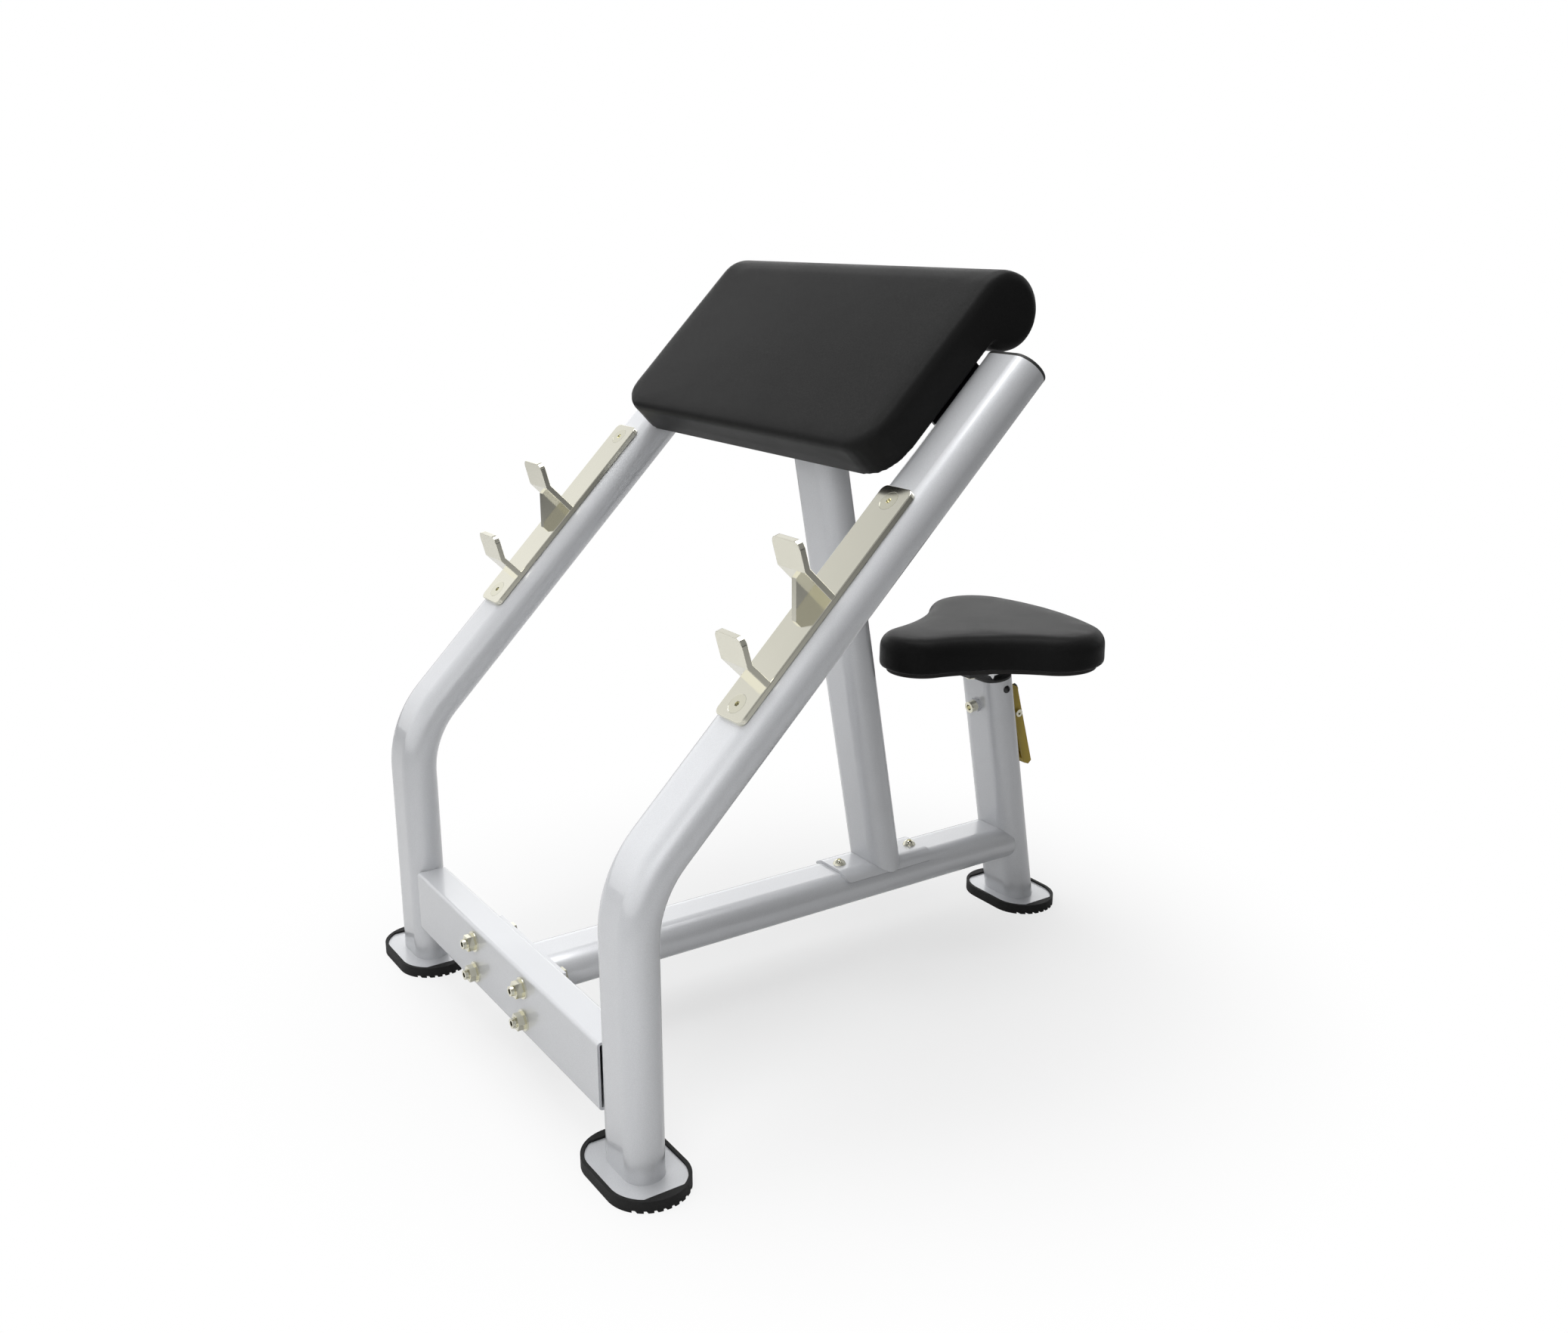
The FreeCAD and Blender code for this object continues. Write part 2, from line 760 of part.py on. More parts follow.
def make_flange():
    flange = new_body("beam_flange", at(0, d.crossbeam_depth / 2, d.beam_z))
    face = sketch_on(flange, "XZ_Plane")
    x = d.flange_width / 2
    z = d.flange_height / 2
    rectangle(face, -x, -z, x, z)
    for bolt_x, bolt_z in flange_bolt_places:
        circle(face, bolt_x, bolt_z, d.flange_bolt_radius + d.bolt_gap)
    pad(flange, face, d.flange_thick, reverse=True)
    keep(flange)


def make_flange_fasteners():
    front = -d.crossbeam_depth / 2
    stack = d.flange_washer_thick + d.flange_nut_height + d.flange_bolt_end
    length = d.flange_thick + d.crossbeam_depth + stack
    bolts = []
    washers = []
    nuts = []
    for number, (x, z) in enumerate(flange_bolt_places, 1):
        height = d.beam_z + z
        head = at(x, beam_start, height, to_rear)
        bolt = hex_bolt(f"flange_bolt_solid_{number}", head, d.flange_bolt_radius, length,
                        d.flange_nut_radius, d.flange_head_height)
        tip = at(x, front - stack, height, to_front)
        bolts.append(hollow(f"flange_bolt_{number}", bolt, tip, d.flange_bolt_hollow,
                            d.flange_bolt_end))
        face = at(x, front, height, to_front)
        washers.append(washer(f"flange_washer_{number}", face, d.flange_bolt_radius,
                              d.flange_washer_radius, d.flange_washer_thick))
        nuts.append(nut(f"flange_nut_{number}", lifted(face, d.flange_washer_thick),
                        d.flange_bolt_radius, d.flange_nut_radius, d.flange_nut_height))
    keep(grouped("flange_bolts", bolts))
    keep(grouped("flange_washers", washers))
    keep(grouped("flange_nuts", nuts))


# Center post on its saddle

def pad_plane_on_post(level, y):
    """Height along the center post, at depth y in its frame, of a plane parallel to the pad."""
    start = (d.beam_z - d.bend_height) * lean_sine - center_post_y * lean_cosine
    slope = lean_sine * tilt_sine - lean_cosine * tilt_cosine
    rise = lean_cosine * tilt_sine + lean_sine * tilt_cosine
    return (level - start - y * slope) / rise


def floor_plane_on_post(level, y):
    """Height along a tilted post, at depth y in its frame, of a level plane."""
    return (level - y * tilt_sine) / tilt_cosine


def trim(body, near, far, edge):
    """Cut a post off past the line from near to far, on the side of the given edge height."""
    shape = sketch_on(body, "YZ_Plane")
    corners = [(near[0], edge), (far[0], edge), far, near]
    outline(shape, corners if float(edge) < float(near[1]) else corners[::-1])
    pocket(body, shape)


def make_center_post():
    """The post's foot is shaped to sit over the saddle."""
    post = new_body("center_post_tube", center_frame)
    section = sketch_on(post, "XY_Plane")
    tube_profile(section)
    reach = d.tube_thick
    top = [(y, pad_plane_on_post(plate_under, y)) for y in (-reach, reach)]
    highest = max((point[1] for point in top), key=float)
    pad(post, section, highest)
    trim(post, *top, highest + reach)
    envelope = new_body("saddle_envelope", at(0, saddle_y, d.beam_z))
    shape = sketch_on(envelope, "XZ_Plane")
    margin = 2 * (d.saddle_thick + 2 * d.weld_gap)
    slot(shape, d.tube_width + margin, d.tube_thick + margin)
    pad(envelope, shape, d.saddle_length, "Symmetric")
    keep(cut("center_post", post, envelope))


def make_saddle():
    saddle = new_body("saddle_plate", at(0, saddle_y, d.beam_z))
    flat = (d.tube_width - d.tube_thick) / 2
    inner = saddle_under
    outer = saddle_under + d.saddle_thick
    end_x = cosine(d.saddle_end_angle)
    end_z = sine(d.saddle_end_angle)
    section = sketch_on(saddle, "XZ_Plane")
    outline(section, [
        (flat, outer), (-flat, outer, outer, 1), (-flat - outer * end_x, outer * end_z),
        (-flat - inner * end_x, inner * end_z, inner, -1), (-flat, inner), (flat, inner, inner, -1),
        (flat + inner * end_x, inner * end_z), (flat + outer * end_x, outer * end_z, outer, 1),
    ])
    blank = pad(saddle, section, d.saddle_length, "Symmetric")
    thick = float(d.saddle_thick)
    fillet(saddle, blank, d.saddle_corner, lambda edge: abs(edge.Length - thick) < 0.01)
    holes = sketch_on(saddle, "XY_Plane")
    for y in saddle_bolt_places:
        circle(holes, zero, y - saddle_y, d.saddle_bolt_radius + d.bolt_gap)
    pocket(saddle, holes)
    keep(saddle)


def make_saddle_fasteners():
    under = d.beam_z - tube_face
    length = saddle_top - under + d.saddle_nut_height + d.saddle_bolt_end
    bolts = []
    nuts = []
    for number, y in enumerate(saddle_bolt_places, 1):
        bolts.append(dome_bolt(f"saddle_bolt_{number}", at(0, y, saddle_top), d.saddle_bolt_radius,
                               length, d.saddle_head_radius, d.saddle_head_height,
                               d.saddle_socket, d.saddle_socket_depth))
        nuts.append(nut(f"saddle_nut_{number}", at(0, y, under - d.saddle_nut_height),
                        d.saddle_bolt_radius, d.saddle_nut_radius, d.saddle_nut_height))
    keep(grouped("saddle_bolts", bolts))
    keep(grouped("saddle_nuts", nuts))


# Bar rack: a plate on each incline with two hooks and a gusset under the upper one

def make_rack(side):
    frame = incline_frame(sides[side])
    plate = new_body(f"{side}_rack_plate_blank", within(frame, 0, rack_middle, tube_face))
    shape = sketch_on(plate, "XY_Plane")
    rounded_rectangle(shape, d.rack_width, d.rack_length, d.rack_round)
    blank = pad(plate, shape, d.rack_thick)
    height = float(d.rack_thick)
    fillet(plate, blank, d.rack_edge, lambda edge: edge.BoundBox.ZMin > height - 0.01)
    sinks = [
        flat_screw(f"{side}_screw_hole_{end + 2}", place, d.bolt_gap)
        for end, place in rack_screw_places(side)
    ]
    keep(cut(f"{side}_rack_plate", plate, fused(f"{side}_screw_holes", sinks)))
    lower = within(frame, 0, rack_low + d.lower_hook_up, rack_face)
    make_hook(f"{side}_lower_hook", lower, d.lower_hook_arm)
    upper = within(frame, 0, rack_low + d.upper_hook_up, rack_face)
    make_hook(f"{side}_upper_hook", upper, d.upper_hook_arm)
    make_gusset(f"{side}_gusset", upper)


def make_hook(name, frame, arm):
    hook = new_body(name, frame)
    tip_x = sine(d.hook_bend)
    tip_y = cosine(d.hook_bend)
    end = (d.hook_tip * tip_x, arm + d.hook_tip * tip_y)
    side = sketch_on(hook, "YZ_Plane")
    outline(side, [
        (zero, zero), (d.hook_thick, zero),
        (d.hook_thick, arm - d.hook_thick * tangent(d.hook_bend / 2)),
        (end[0] + d.hook_thick * tip_y, end[1] - d.hook_thick * tip_x),
        end, (zero, arm),
    ])
    blank = pad(hook, side, d.rack_width, "Symmetric")
    low = float(end[1] - d.hook_thick * tip_x) - 0.01
    rounded = fillet(hook, blank, d.hook_tip_round,
                     lambda edge: edge.BoundBox.ZMin > low and edge.BoundBox.XLength < 0.01)
    fillet(hook, rounded, d.hook_edge, lambda edge: edge.BoundBox.ZMax > 0.01)
    keep(hook)


def make_gusset(name, frame):
    gusset = new_body(name, frame)
    face = sketch_on(gusset, "YZ_Plane")
    leg = d.gusset_leg
    blunt = d.gusset_blunt
    outline(face, [
        (zero, zero), (zero, leg), (-blunt, leg), (-leg, blunt), (-leg, zero),
    ])
    pad(gusset, face, d.gusset_thick, "Symmetric")
    keep(gusset)


def make_rack_screws():
    screws = []
    for side in sides:
        for end, place in rack_screw_places(side):
            name = f"{side}_rack_screw_{end + 2}"
            blank = flat_screw(f"{name}_blank", place, zero)
            screws.append(hollow(name, blank, place, d.rack_screw_socket, d.rack_screw_depth))
    keep(grouped("rack_screws", screws))


# Arm pad, its board and what carries it

pad_frame = incline_frame(0)
CORNER_STEPS = 6
CROWN_STEPS = 2


def pad_section(x):
    """Closed section of the pad across X: a slab with a round front edge and a full roll behind."""
    half = float(pad_width) / 2
    corner = float(d.pad_corner)
    edge = float(d.pad_edge)
    under = float(d.pad_under_edge)
    into_corner = min(max(abs(x) - (half - corner), 0.0), corner)
    into_edge = min(max(abs(x) - (half - edge), 0.0), edge)
    inset = edge - math.sqrt(edge ** 2 - into_edge ** 2)
    front = float(pad_low) + corner - math.sqrt(corner ** 2 - into_corner ** 2)
    top = float(pad_top) - inset
    low = float(pad_under)
    roll = Vector(x, float(roll_at), float(roll_level))
    radius = float(d.pad_roll_radius) - inset
    end_crown = float(d.pad_end_crown)
    crown = end_crown + (float(d.pad_crown) - end_crown) * (1 - (x / half) ** 2)
    notch = math.pi - math.asin((low - roll.z) / radius)

    def point(y, z):
        return Vector(x, y, z)

    def on_roll(angle):
        return roll + Vector(0, math.cos(angle), math.sin(angle)) * radius

    def bevel(center_y, center_z, size, angle):
        return point(center_y + size * math.cos(angle), center_z + size * math.sin(angle))

    round_y = front + edge
    round_z = top - edge
    under_y = front + under
    under_z = low + under
    below = math.radians(-45)
    behind = on_roll(math.radians(90))
    edges = [
        Part.LineSegment(point(front, under_z), point(front, round_z)),
        Part.Arc(point(front, round_z), bevel(round_y, round_z, edge, math.radians(135)),
                 point(round_y, top)),
        Part.Arc(point(round_y, top), point((round_y + roll.y) / 2, top + crown), behind),
        Part.Arc(behind, on_roll((math.radians(90) + below) / 2), on_roll(below)),
        Part.Arc(on_roll(below), on_roll((below + notch - 2 * math.pi) / 2), on_roll(notch)),
        Part.LineSegment(on_roll(notch), point(under_y, low)),
        Part.Arc(point(under_y, low), bevel(under_y, under_z, under, math.radians(225)),
                 point(front, under_z)),
    ]
    return Part.Wire([edge.toShape() for edge in edges])


def make_arm_pad():
    half = float(pad_width) / 2
    bend = float(d.pad_corner)
    turns = [math.pi / 2 * step / CORNER_STEPS for step in range(CORNER_STEPS + 1)]
    flat = half - bend
    right = [flat * step / CROWN_STEPS for step in range(1, CROWN_STEPS)]
    right += [flat + bend * math.sin(turn) for turn in turns]
    places = [-x for x in reversed(right)] + [0.0] + right
    cushion = doc.addObject("Part::Feature", "arm_pad_cushion")
    cushion.Shape = Part.makeLoft([pad_section(x) for x in places], True, True)
    cushion.Placement = pad_frame
    width = pad_width - 2 * d.pad_board_margin
    length = board_end - board_start
    corner = within(pad_frame, -width / 2, board_start, pad_under)
    recess = solid("Box", "pad_recess", lifted(corner, -overcut),
                   Length=width, Width=length, Height=d.pad_board_thick + overcut)
    keep(cut("arm_pad", cushion, recess))
    board = solid("Box", "pad_board_blank", corner,
                  Length=width, Width=length, Height=d.pad_board_thick)
    holes = [
        cylinder(f"pad_board_hole_{number}", frame, d.pad_screw_radius + d.bolt_gap,
                 -d.pad_plate_thick - d.pad_screw_bite - d.fit_gap, zero)
        for number, frame in enumerate(pad_screw_seats(), 1)
    ]
    keep(cut("pad_board", board, fused("pad_board_holes", holes)))


def make_pad_plate():
    plate = new_body("pad_plate", within(pad_frame, 0, plate_middle, pad_under))
    shape = sketch_on(plate, "XY_Plane")
    x = d.pad_plate_width / 2
    y = d.pad_plate_length / 2
    rectangle(shape, -x, -y, x, y)
    for screw_x, screw_y in plate_screw_places():
        circle(shape, screw_x, screw_y, d.pad_screw_radius + d.bolt_gap)
    pad(plate, shape, d.pad_plate_thick, reverse=True)
    keep(plate)


def plate_screw_places():
    x = d.pad_plate_width / 2 - d.pad_screw_inset
    y = d.pad_plate_length / 2 - d.pad_screw_inset
    return [(x * across, y * along) for across in (-1, 1) for along in (-1, 1)]


bracket_face = d.upright_x - d.tube_width / 2 - d.weld_gap
bracket_screw_x = bracket_face - d.bracket_leg + d.pad_screw_inset
bracket_screw_y = d.bracket_length / 2 - d.pad_screw_inset


def make_pad_bracket(side):
    """An angle: one leg under the board, the other down beside the upright."""
    turn = -1 if side == "left" else 1
    bracket = new_body(f"{side}_pad_bracket", within(pad_frame, 0, bracket_at, pad_under))
    section = sketch_on(bracket, "XZ_Plane")
    outer = bracket_face * turn
    inner = (bracket_face - d.bracket_thick) * turn
    toe = (bracket_face - d.bracket_leg) * turn
    outline(section, [
        (toe, zero), (outer, zero), (outer, -d.bracket_drop), (inner, -d.bracket_drop),
        (inner, -d.bracket_thick), (toe, -d.bracket_thick),
    ])
    pad(bracket, section, d.bracket_length, "Symmetric")
    holes = sketch_on(bracket, "XY_Plane")
    for end in (-1, 1):
        circle(holes, bracket_screw_x * turn, bracket_screw_y * end,
               d.pad_screw_radius + d.bolt_gap)
    pocket(bracket, holes)
    keep(bracket)


def pad_screw_seats():
    """Frames under the pad plate and the brackets, Z pointing away from the pad."""
    down = Rotation(along_x, 180)
    for x, y in plate_screw_places():
        yield within(pad_frame, x, plate_middle + y, plate_under, down)
    for turn in (-1, 1):
        for end in (-1, 1):
            yield within(pad_frame, bracket_screw_x * turn, bracket_at + bracket_screw_y * end,
                         pad_under - d.bracket_thick, down)


def make_pad_screws():
    length = d.pad_plate_thick + d.pad_screw_bite
    screws = [
        hex_bolt(f"pad_screw_{number}", frame, d.pad_screw_radius, length, d.pad_screw_head,
                 d.pad_screw_head_height)
        for number, frame in enumerate(pad_screw_seats(), 1)
    ]
    keep(grouped("pad_screws", screws))


# Seat post with its sleeve, guide screw and side screw

sleeve_low = d.seat_post_length - d.sleeve_depth
sleeve_screw_at = d.seat_post_length - d.sleeve_screw_drop
pin_hole_radius = d.pin_radius + d.pin_run_gap
liner_radius = tube_face - d.tube_wall - d.fit_gap
bore_depth = 2 * (liner_radius - d.sleeve_wall)
bore_round = d.inner_round + d.slide_gap
corner_reach = liner_radius - d.sleeve_corner_wall - bore_round
corner_y = bore_depth / 2 - bore_round
corner_x = (d.tube_width - d.tube_thick) / 2 + root(corner_reach * corner_reach - corner_y * corner_y)
bore_width = 2 * (corner_x + bore_round)
inner_width = bore_width - 2 * d.slide_gap
inner_depth = bore_depth - 2 * d.slide_gap
tube_front = inner_depth / 2


def cross_holes(body):
    """Holes for the locking pin behind and the guide screw in front, and for the side screw."""
    across = sketch_on(body, "XZ_Plane")
    circle(across, zero, pin_at, pin_hole_radius)
    pocket(body, across)
    sideways = sketch_on(body, "YZ_Plane")
    circle(sideways, zero, sleeve_screw_at, d.sleeve_screw_radius + d.bolt_gap)
    feature = pocket(body, sideways, d.tube_width, "One side")
    feature.Reversed = True


def make_seat_post():
    post = new_body("seat_post", seat_frame)
    section = sketch_on(post, "XY_Plane")
    tube_profile(section)
    pad(post, section, d.seat_post_length)
    reach = d.tube_thick
    trim(post, *[(y, floor_plane_on_post(foot_top, y)) for y in (-reach, reach)], -reach)
    cross_holes(post)
    keep(post)


def make_sleeve():
    sleeve = new_body("post_sleeve", seat_frame)
    margin = 2 * (d.tube_wall + d.fit_gap)
    liner = sketch_on(sleeve, "XY_Plane", sleeve_low)
    slot(liner, d.tube_width - margin, d.tube_thick - margin)
    rounded_rectangle(liner, bore_width, bore_depth, bore_round)
    pad(sleeve, liner, d.sleeve_depth)
    rim = sketch_on(sleeve, "XY_Plane", d.seat_post_length)
    slot(rim, d.tube_width, d.tube_thick)
    rounded_rectangle(rim, bore_width, bore_depth, bore_round)
    pad(sleeve, rim, d.sleeve_rim)
    cross_holes(sleeve)
    keep(sleeve)


def make_post_screws():
    side = within(seat_frame, d.tube_width / 2, 0, sleeve_screw_at, to_right)
    reach = (d.tube_width - inner_width) / 2 - d.fit_gap
    keep(dome_bolt("sleeve_screw", side, d.sleeve_screw_radius, reach, d.sleeve_screw_head,
                   d.sleeve_screw_height, d.sleeve_screw_socket, d.sleeve_screw_socket_depth))
    front = within(seat_frame, 0, -tube_face, pin_at, to_front)
    keep(nut("guide_nut", front, d.pin_radius, d.guide_nut_radius, d.guide_nut_height))
    head = lifted(front, d.guide_nut_height)
    reach = d.guide_nut_height + tube_face - tube_front - d.fit_gap
    keep(round_bolt("guide_screw", head, d.pin_radius, reach, d.guide_head_radius,
                    d.guide_head_height, d.guide_socket, d.guide_socket_depth))


# Seat: inner tube with locking holes, plate, board and cushion

def make_seat_tube():
    tube = new_body("seat_tube", seat_frame)
    low = d.seat_post_length - d.seat_travel - d.seat_overlap
    section = sketch_on(tube, "XY_Plane", low)
    rounded_rectangle(section, inner_width, inner_depth, d.inner_round)
    wall = 2 * d.inner_wall
    rounded_rectangle(section, inner_width - wall, inner_depth - wall, d.inner_bore_round)
    reach = inner_depth
    top = [(y, floor_plane_on_post(seat_plate_under, y)) for y in (-reach, reach)]
    pad(tube, section, top[0][1] - low)
    trim(tube, *top, top[0][1] + reach)
    holes = sketch_on(tube, "XZ_Plane")
    for number in range(int(float(d.seat_travel) / float(d.hole_pitch) + 0.5) + 1):
        circle(holes, zero, pin_at - d.hole_pitch * number, pin_hole_radius)
    pocket(tube, holes, inner_depth, "One side")
    keep(tube)


def seat_outline(inset, height):
    """The saddle shape, drawn in by an inset: nose, hollow sides, two lobes and a round back."""
    nose = Vector(0, -float(d.seat_nose_ahead), height)
    lobe = Vector(float(d.seat_lobe_x), float(d.seat_lobe_behind), height)
    back = Vector(0, float(back_center), height)
    nose_radius = float(d.seat_nose_radius)
    lobe_radius = float(d.seat_lobe_radius)
    side_radius = float(d.seat_side_radius)
    back_radius = float(d.seat_back_radius)
    span = lobe - nose
    from_nose = nose_radius + side_radius
    from_lobe = lobe_radius + side_radius
    foot = (from_nose ** 2 - from_lobe ** 2 + span.Length ** 2) / (2 * span.Length)
    rise = math.sqrt(from_nose ** 2 - foot ** 2)
    along = span / span.Length
    side = nose + along * foot + Vector(along.y, -along.x, 0) * rise
    nose_to_side = (side - nose).normalize()
    lobe_to_side = (side - lobe).normalize()
    back_to_lobe = (lobe - back).normalize()
    arcs = [
        (nose, nose_radius - inset, Vector(0, -1, 0), nose_to_side),
        (side, side_radius + inset, -nose_to_side, -lobe_to_side),
        (lobe, lobe_radius - inset, lobe_to_side, back_to_lobe),
        (back, back_radius - inset, back_to_lobe, Vector(0, 1, 0)),
    ]
    halves = []
    for center, radius, first, last in arcs:
        half_way = (first + last).normalize()
        halves.append([center + way * radius for way in (first, half_way, last)])
    mirrored = [
        [Vector(-point.x, point.y, point.z) for point in reversed(arc)] for arc in reversed(halves)
    ]
    return Part.Wire([Part.Arc(*arc).toShape() for arc in halves + mirrored])


def cushion_sections():
    """Inset and height of each outline, from the drawn-in underside to the crown."""
    edge = float(d.cushion_edge)
    shoulder = float(d.cushion_thick - d.cushion_crown)
    under = float(d.cushion_under_inset)
    under_height = float(d.cushion_under_edge)
    levels = [(under * (1 - math.sin(turn)), under_height * (1 - math.cos(turn)))
              for turn in (0, math.pi / 4, math.pi / 2)]
    levels += [(edge * (1 - math.cos(turn)), shoulder - edge + edge * math.sin(turn))
               for turn in [math.pi / 2 * step / 5 for step in range(6)]]
    return levels + [(float(d.cushion_crown_inset), float(d.cushion_thick))]


def make_seat_cushion():
    board = doc.addObject("Part::Feature", "seat_board_blank")
    flat = Part.Face(seat_outline(float(d.seat_board_inset), 0.0))
    board.Shape = flat.extrude(Vector(0, 0, float(d.seat_board_thick)))
    board.Placement = at(0, seat_axis_y, seat_board_under)
    holes = [
        cylinder(f"seat_board_hole_{number}", frame, d.seat_screw_radius + d.bolt_gap,
                 -d.seat_plate_thick - d.seat_screw_bite - d.fit_gap, zero)
        for number, frame in enumerate(seat_screw_seats(), 1)
    ]
    keep(cut("seat_board", board, fused("seat_board_holes", holes)))
    cushion = doc.addObject("Part::Feature", "seat_cushion")
    wires = [seat_outline(inset, height) for inset, height in cushion_sections()]
    cushion.Shape = Part.makeLoft(wires, True, True)
    cushion.Placement = at(0, seat_axis_y, cushion_under)
    keep(cushion)


def seat_screw_seats():
    x = d.seat_plate_width / 2 - d.seat_screw_inset
    y = d.seat_plate_length / 2 - d.seat_screw_inset
    down = Rotation(along_x, 180)
    for across in (-1, 1):
        for along in (-1, 1):
            yield at(x * across, seat_axis_y + y * along, seat_plate_under, down)


def make_seat_plate():
    plate = new_body("seat_plate", at(0, seat_axis_y, seat_plate_under))
    shape = sketch_on(plate, "XY_Plane")
    x = d.seat_plate_width / 2
    y = d.seat_plate_length / 2
    rectangle(shape, -x, -y, x, y)
    for across in (-1, 1):
        for along in (-1, 1):
            circle(shape, (x - d.seat_screw_inset) * across, (y - d.seat_screw_inset) * along,
                   d.seat_screw_radius + d.bolt_gap)
    pad(plate, shape, d.seat_plate_thick)
    keep(plate)
    length = d.seat_plate_thick + d.seat_screw_bite
    screws = [
        hex_bolt(f"seat_screw_{number}", frame, d.seat_screw_radius, length, d.seat_screw_head,
                 d.seat_screw_head_height)
        for number, frame in enumerate(seat_screw_seats(), 1)
    ]
    keep(grouped("seat_screws", screws))


# Squeeze lever on its bracket, and the locking pin that it draws back

lever_frame = within(seat_frame, 0, pivot_y, pivot_at, Rotation(along_x, float(d.lever_lean)))
pin_frame = within(seat_frame, 0, 0, pin_at, to_rear)
lever_inside = 2 * (d.guide_radius + d.lever_side_gap)
lever_width = lever_inside + 2 * d.lever_wall
pin_arm = pin_at - pivot_at
pin_tip = tube_front - d.pin_reach
guide_end = tube_face + d.guide_length
pin_head_at = pivot_y + d.lever_back * cosine(d.lever_lean) - pin_arm * sine(d.lever_lean) \
    + d.pin_head_gap


def make_lever():
    lever = new_body("lever", lever_frame)
    side = sketch_on(lever, "YZ_Plane")
    chamfer = d.lever_chamfer
    back = d.lever_back
    foot = d.lever_tip_front - d.lever_lower
    outline(side, [
        (back, d.lever_tip_back - d.lever_lower), (back, d.lever_upper - chamfer),
        (back - chamfer, d.lever_upper), (-d.lever_front_high, d.lever_upper),
        (-d.lever_front_waist, -d.lever_waist), (-d.lever_front_low, foot),
        (d.lever_tip_behind, -d.lever_lower),
    ])
    pad(lever, side, lever_width, "Symmetric")
    inside = sketch_on(lever, "YZ_Plane")
    rectangle(inside, -2 * d.lever_front_waist, foot + d.lever_foot,
              back - d.lever_wall, d.lever_upper + chamfer)
    pocket(lever, inside, lever_inside)
    pivot = sketch_on(lever, "YZ_Plane")
    circle(pivot, zero, zero, d.pivot_radius + d.pivot_run_gap)
    pocket(lever, pivot)
    window = sketch_on(lever, "XZ_Plane")
    circle(window, zero, pin_arm, d.lever_hole_radius)
    pocket(lever, window)
    keep(lever)


def make_lever_bracket():
    bracket = new_body("lever_bracket", seat_frame)
    radius = d.bracket_round
    side = sketch_on(bracket, "YZ_Plane")
    outline(side, [
        (tube_face, pivot_at - radius), (pivot_y, pivot_at - radius, radius, 1),
        (pivot_y + radius, pivot_at, radius, 1), (pivot_y, pivot_at + radius),
        (tube_face, pivot_at + radius),
    ])
    circle(side, pivot_y, pivot_at, d.pivot_radius + d.pivot_run_gap)
    pad(bracket, side, lever_inside - 2 * d.fit_gap, "Symmetric")
    keep(bracket)
    outside = lever_width / 2 + d.fit_gap
    head = within(seat_frame, outside, pivot_y, pivot_at, to_right)
    keep(round_bolt("pivot_bolt", head, d.pivot_radius, 2 * outside + d.pivot_nut_height,
                    d.pivot_head_radius, d.pivot_head_height, d.pivot_socket,
                    d.pivot_socket_depth))
    far = within(seat_frame, -outside, pivot_y, pivot_at, to_left)
    keep(nut("pivot_nut", far, d.pivot_radius, d.pivot_nut_radius, d.pivot_nut_height))


def make_pin():
    shell = cylinder("pin_guide_shell", pin_frame, d.guide_radius, tube_face, guide_end)
    bores = fused("pin_guide_bores", [
        cylinder("pin_guide_bore", pin_frame, d.guide_bore_radius, tube_face - overcut,
                 guide_end - d.guide_end_wall),
        cylinder("pin_guide_mouth", pin_frame, d.pin_neck_radius + d.pin_run_gap,
                 guide_end - d.guide_end_wall, guide_end + overcut),
    ])
    keep(cut("pin_guide", shell, bores))
    collar_low = tube_face + d.fit_gap
    collar_high = collar_low + d.pin_collar_length
    keep(fused("locking_pin", [
        cylinder("pin_tip", pin_frame, d.pin_radius, pin_tip, collar_low),
        cylinder("pin_collar", pin_frame, d.guide_bore_radius - d.pin_collar_gap, collar_low,
                 collar_high),
        cylinder("pin_neck", pin_frame, d.pin_neck_radius, collar_high, pin_head_at),
        cylinder("pin_head", pin_frame, d.pin_head_radius, pin_head_at,
                 pin_head_at + d.pin_head_length),
    ]))
    spring_end = guide_end - d.guide_end_wall
    keep(cut("pin_spring",
             cylinder("pin_spring_coil", pin_frame, d.guide_bore_radius - d.spring_gap,
                      collar_high, spring_end),
             cylinder("pin_spring_bore", pin_frame, d.spring_bore_radius, collar_high - overcut,
                      spring_end + overcut)))


for side in sides:
    make_upright(side)
    make_end_cap(side)
    make_rack(side)
    make_pad_bracket(side)
for place in foot_places:
    make_foot(place)
make_rack_screws()
make_crossbeam()
make_base_beam()
make_flange()
make_flange_fasteners()
make_center_post()
make_saddle()
make_saddle_fasteners()
make_pad_plate()
make_arm_pad()
make_pad_screws()
make_seat_post()
make_sleeve()
make_post_screws()
make_seat_tube()
make_seat_plate()
make_seat_cushion()
make_lever()
make_lever_bracket()
make_pin()
doc.recompute()

for item in doc.Objects:
    faults = {"Invalid", "Error"} & set(item.State)
    if faults:
        raise RuntimeError(f"{item.Name} did not build: {item.State}")
    if item.TypeId == "PartDesign::Pocket":
        if item.Shape.Volume > item.BaseFeature.Shape.Volume - 0.01:
            raise RuntimeError(f"{item.Name} cuts nothing")
for piece in nodes:
    if piece.Shape.isNull() or not piece.Shape.isValid() or not piece.Shape.Solids:
        raise RuntimeError(f"{piece.Label} has no valid solid")

os.makedirs("parts", exist_ok=True)
for piece in nodes:
    piece.Shape.exportStep(os.path.join("parts", f"{piece.Label}.step"))
print(len(nodes), "sub-parts written")
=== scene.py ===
import json
import math

import bpy
import numpy as np
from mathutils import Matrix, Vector
from mathutils.bvhtree import BVHTree


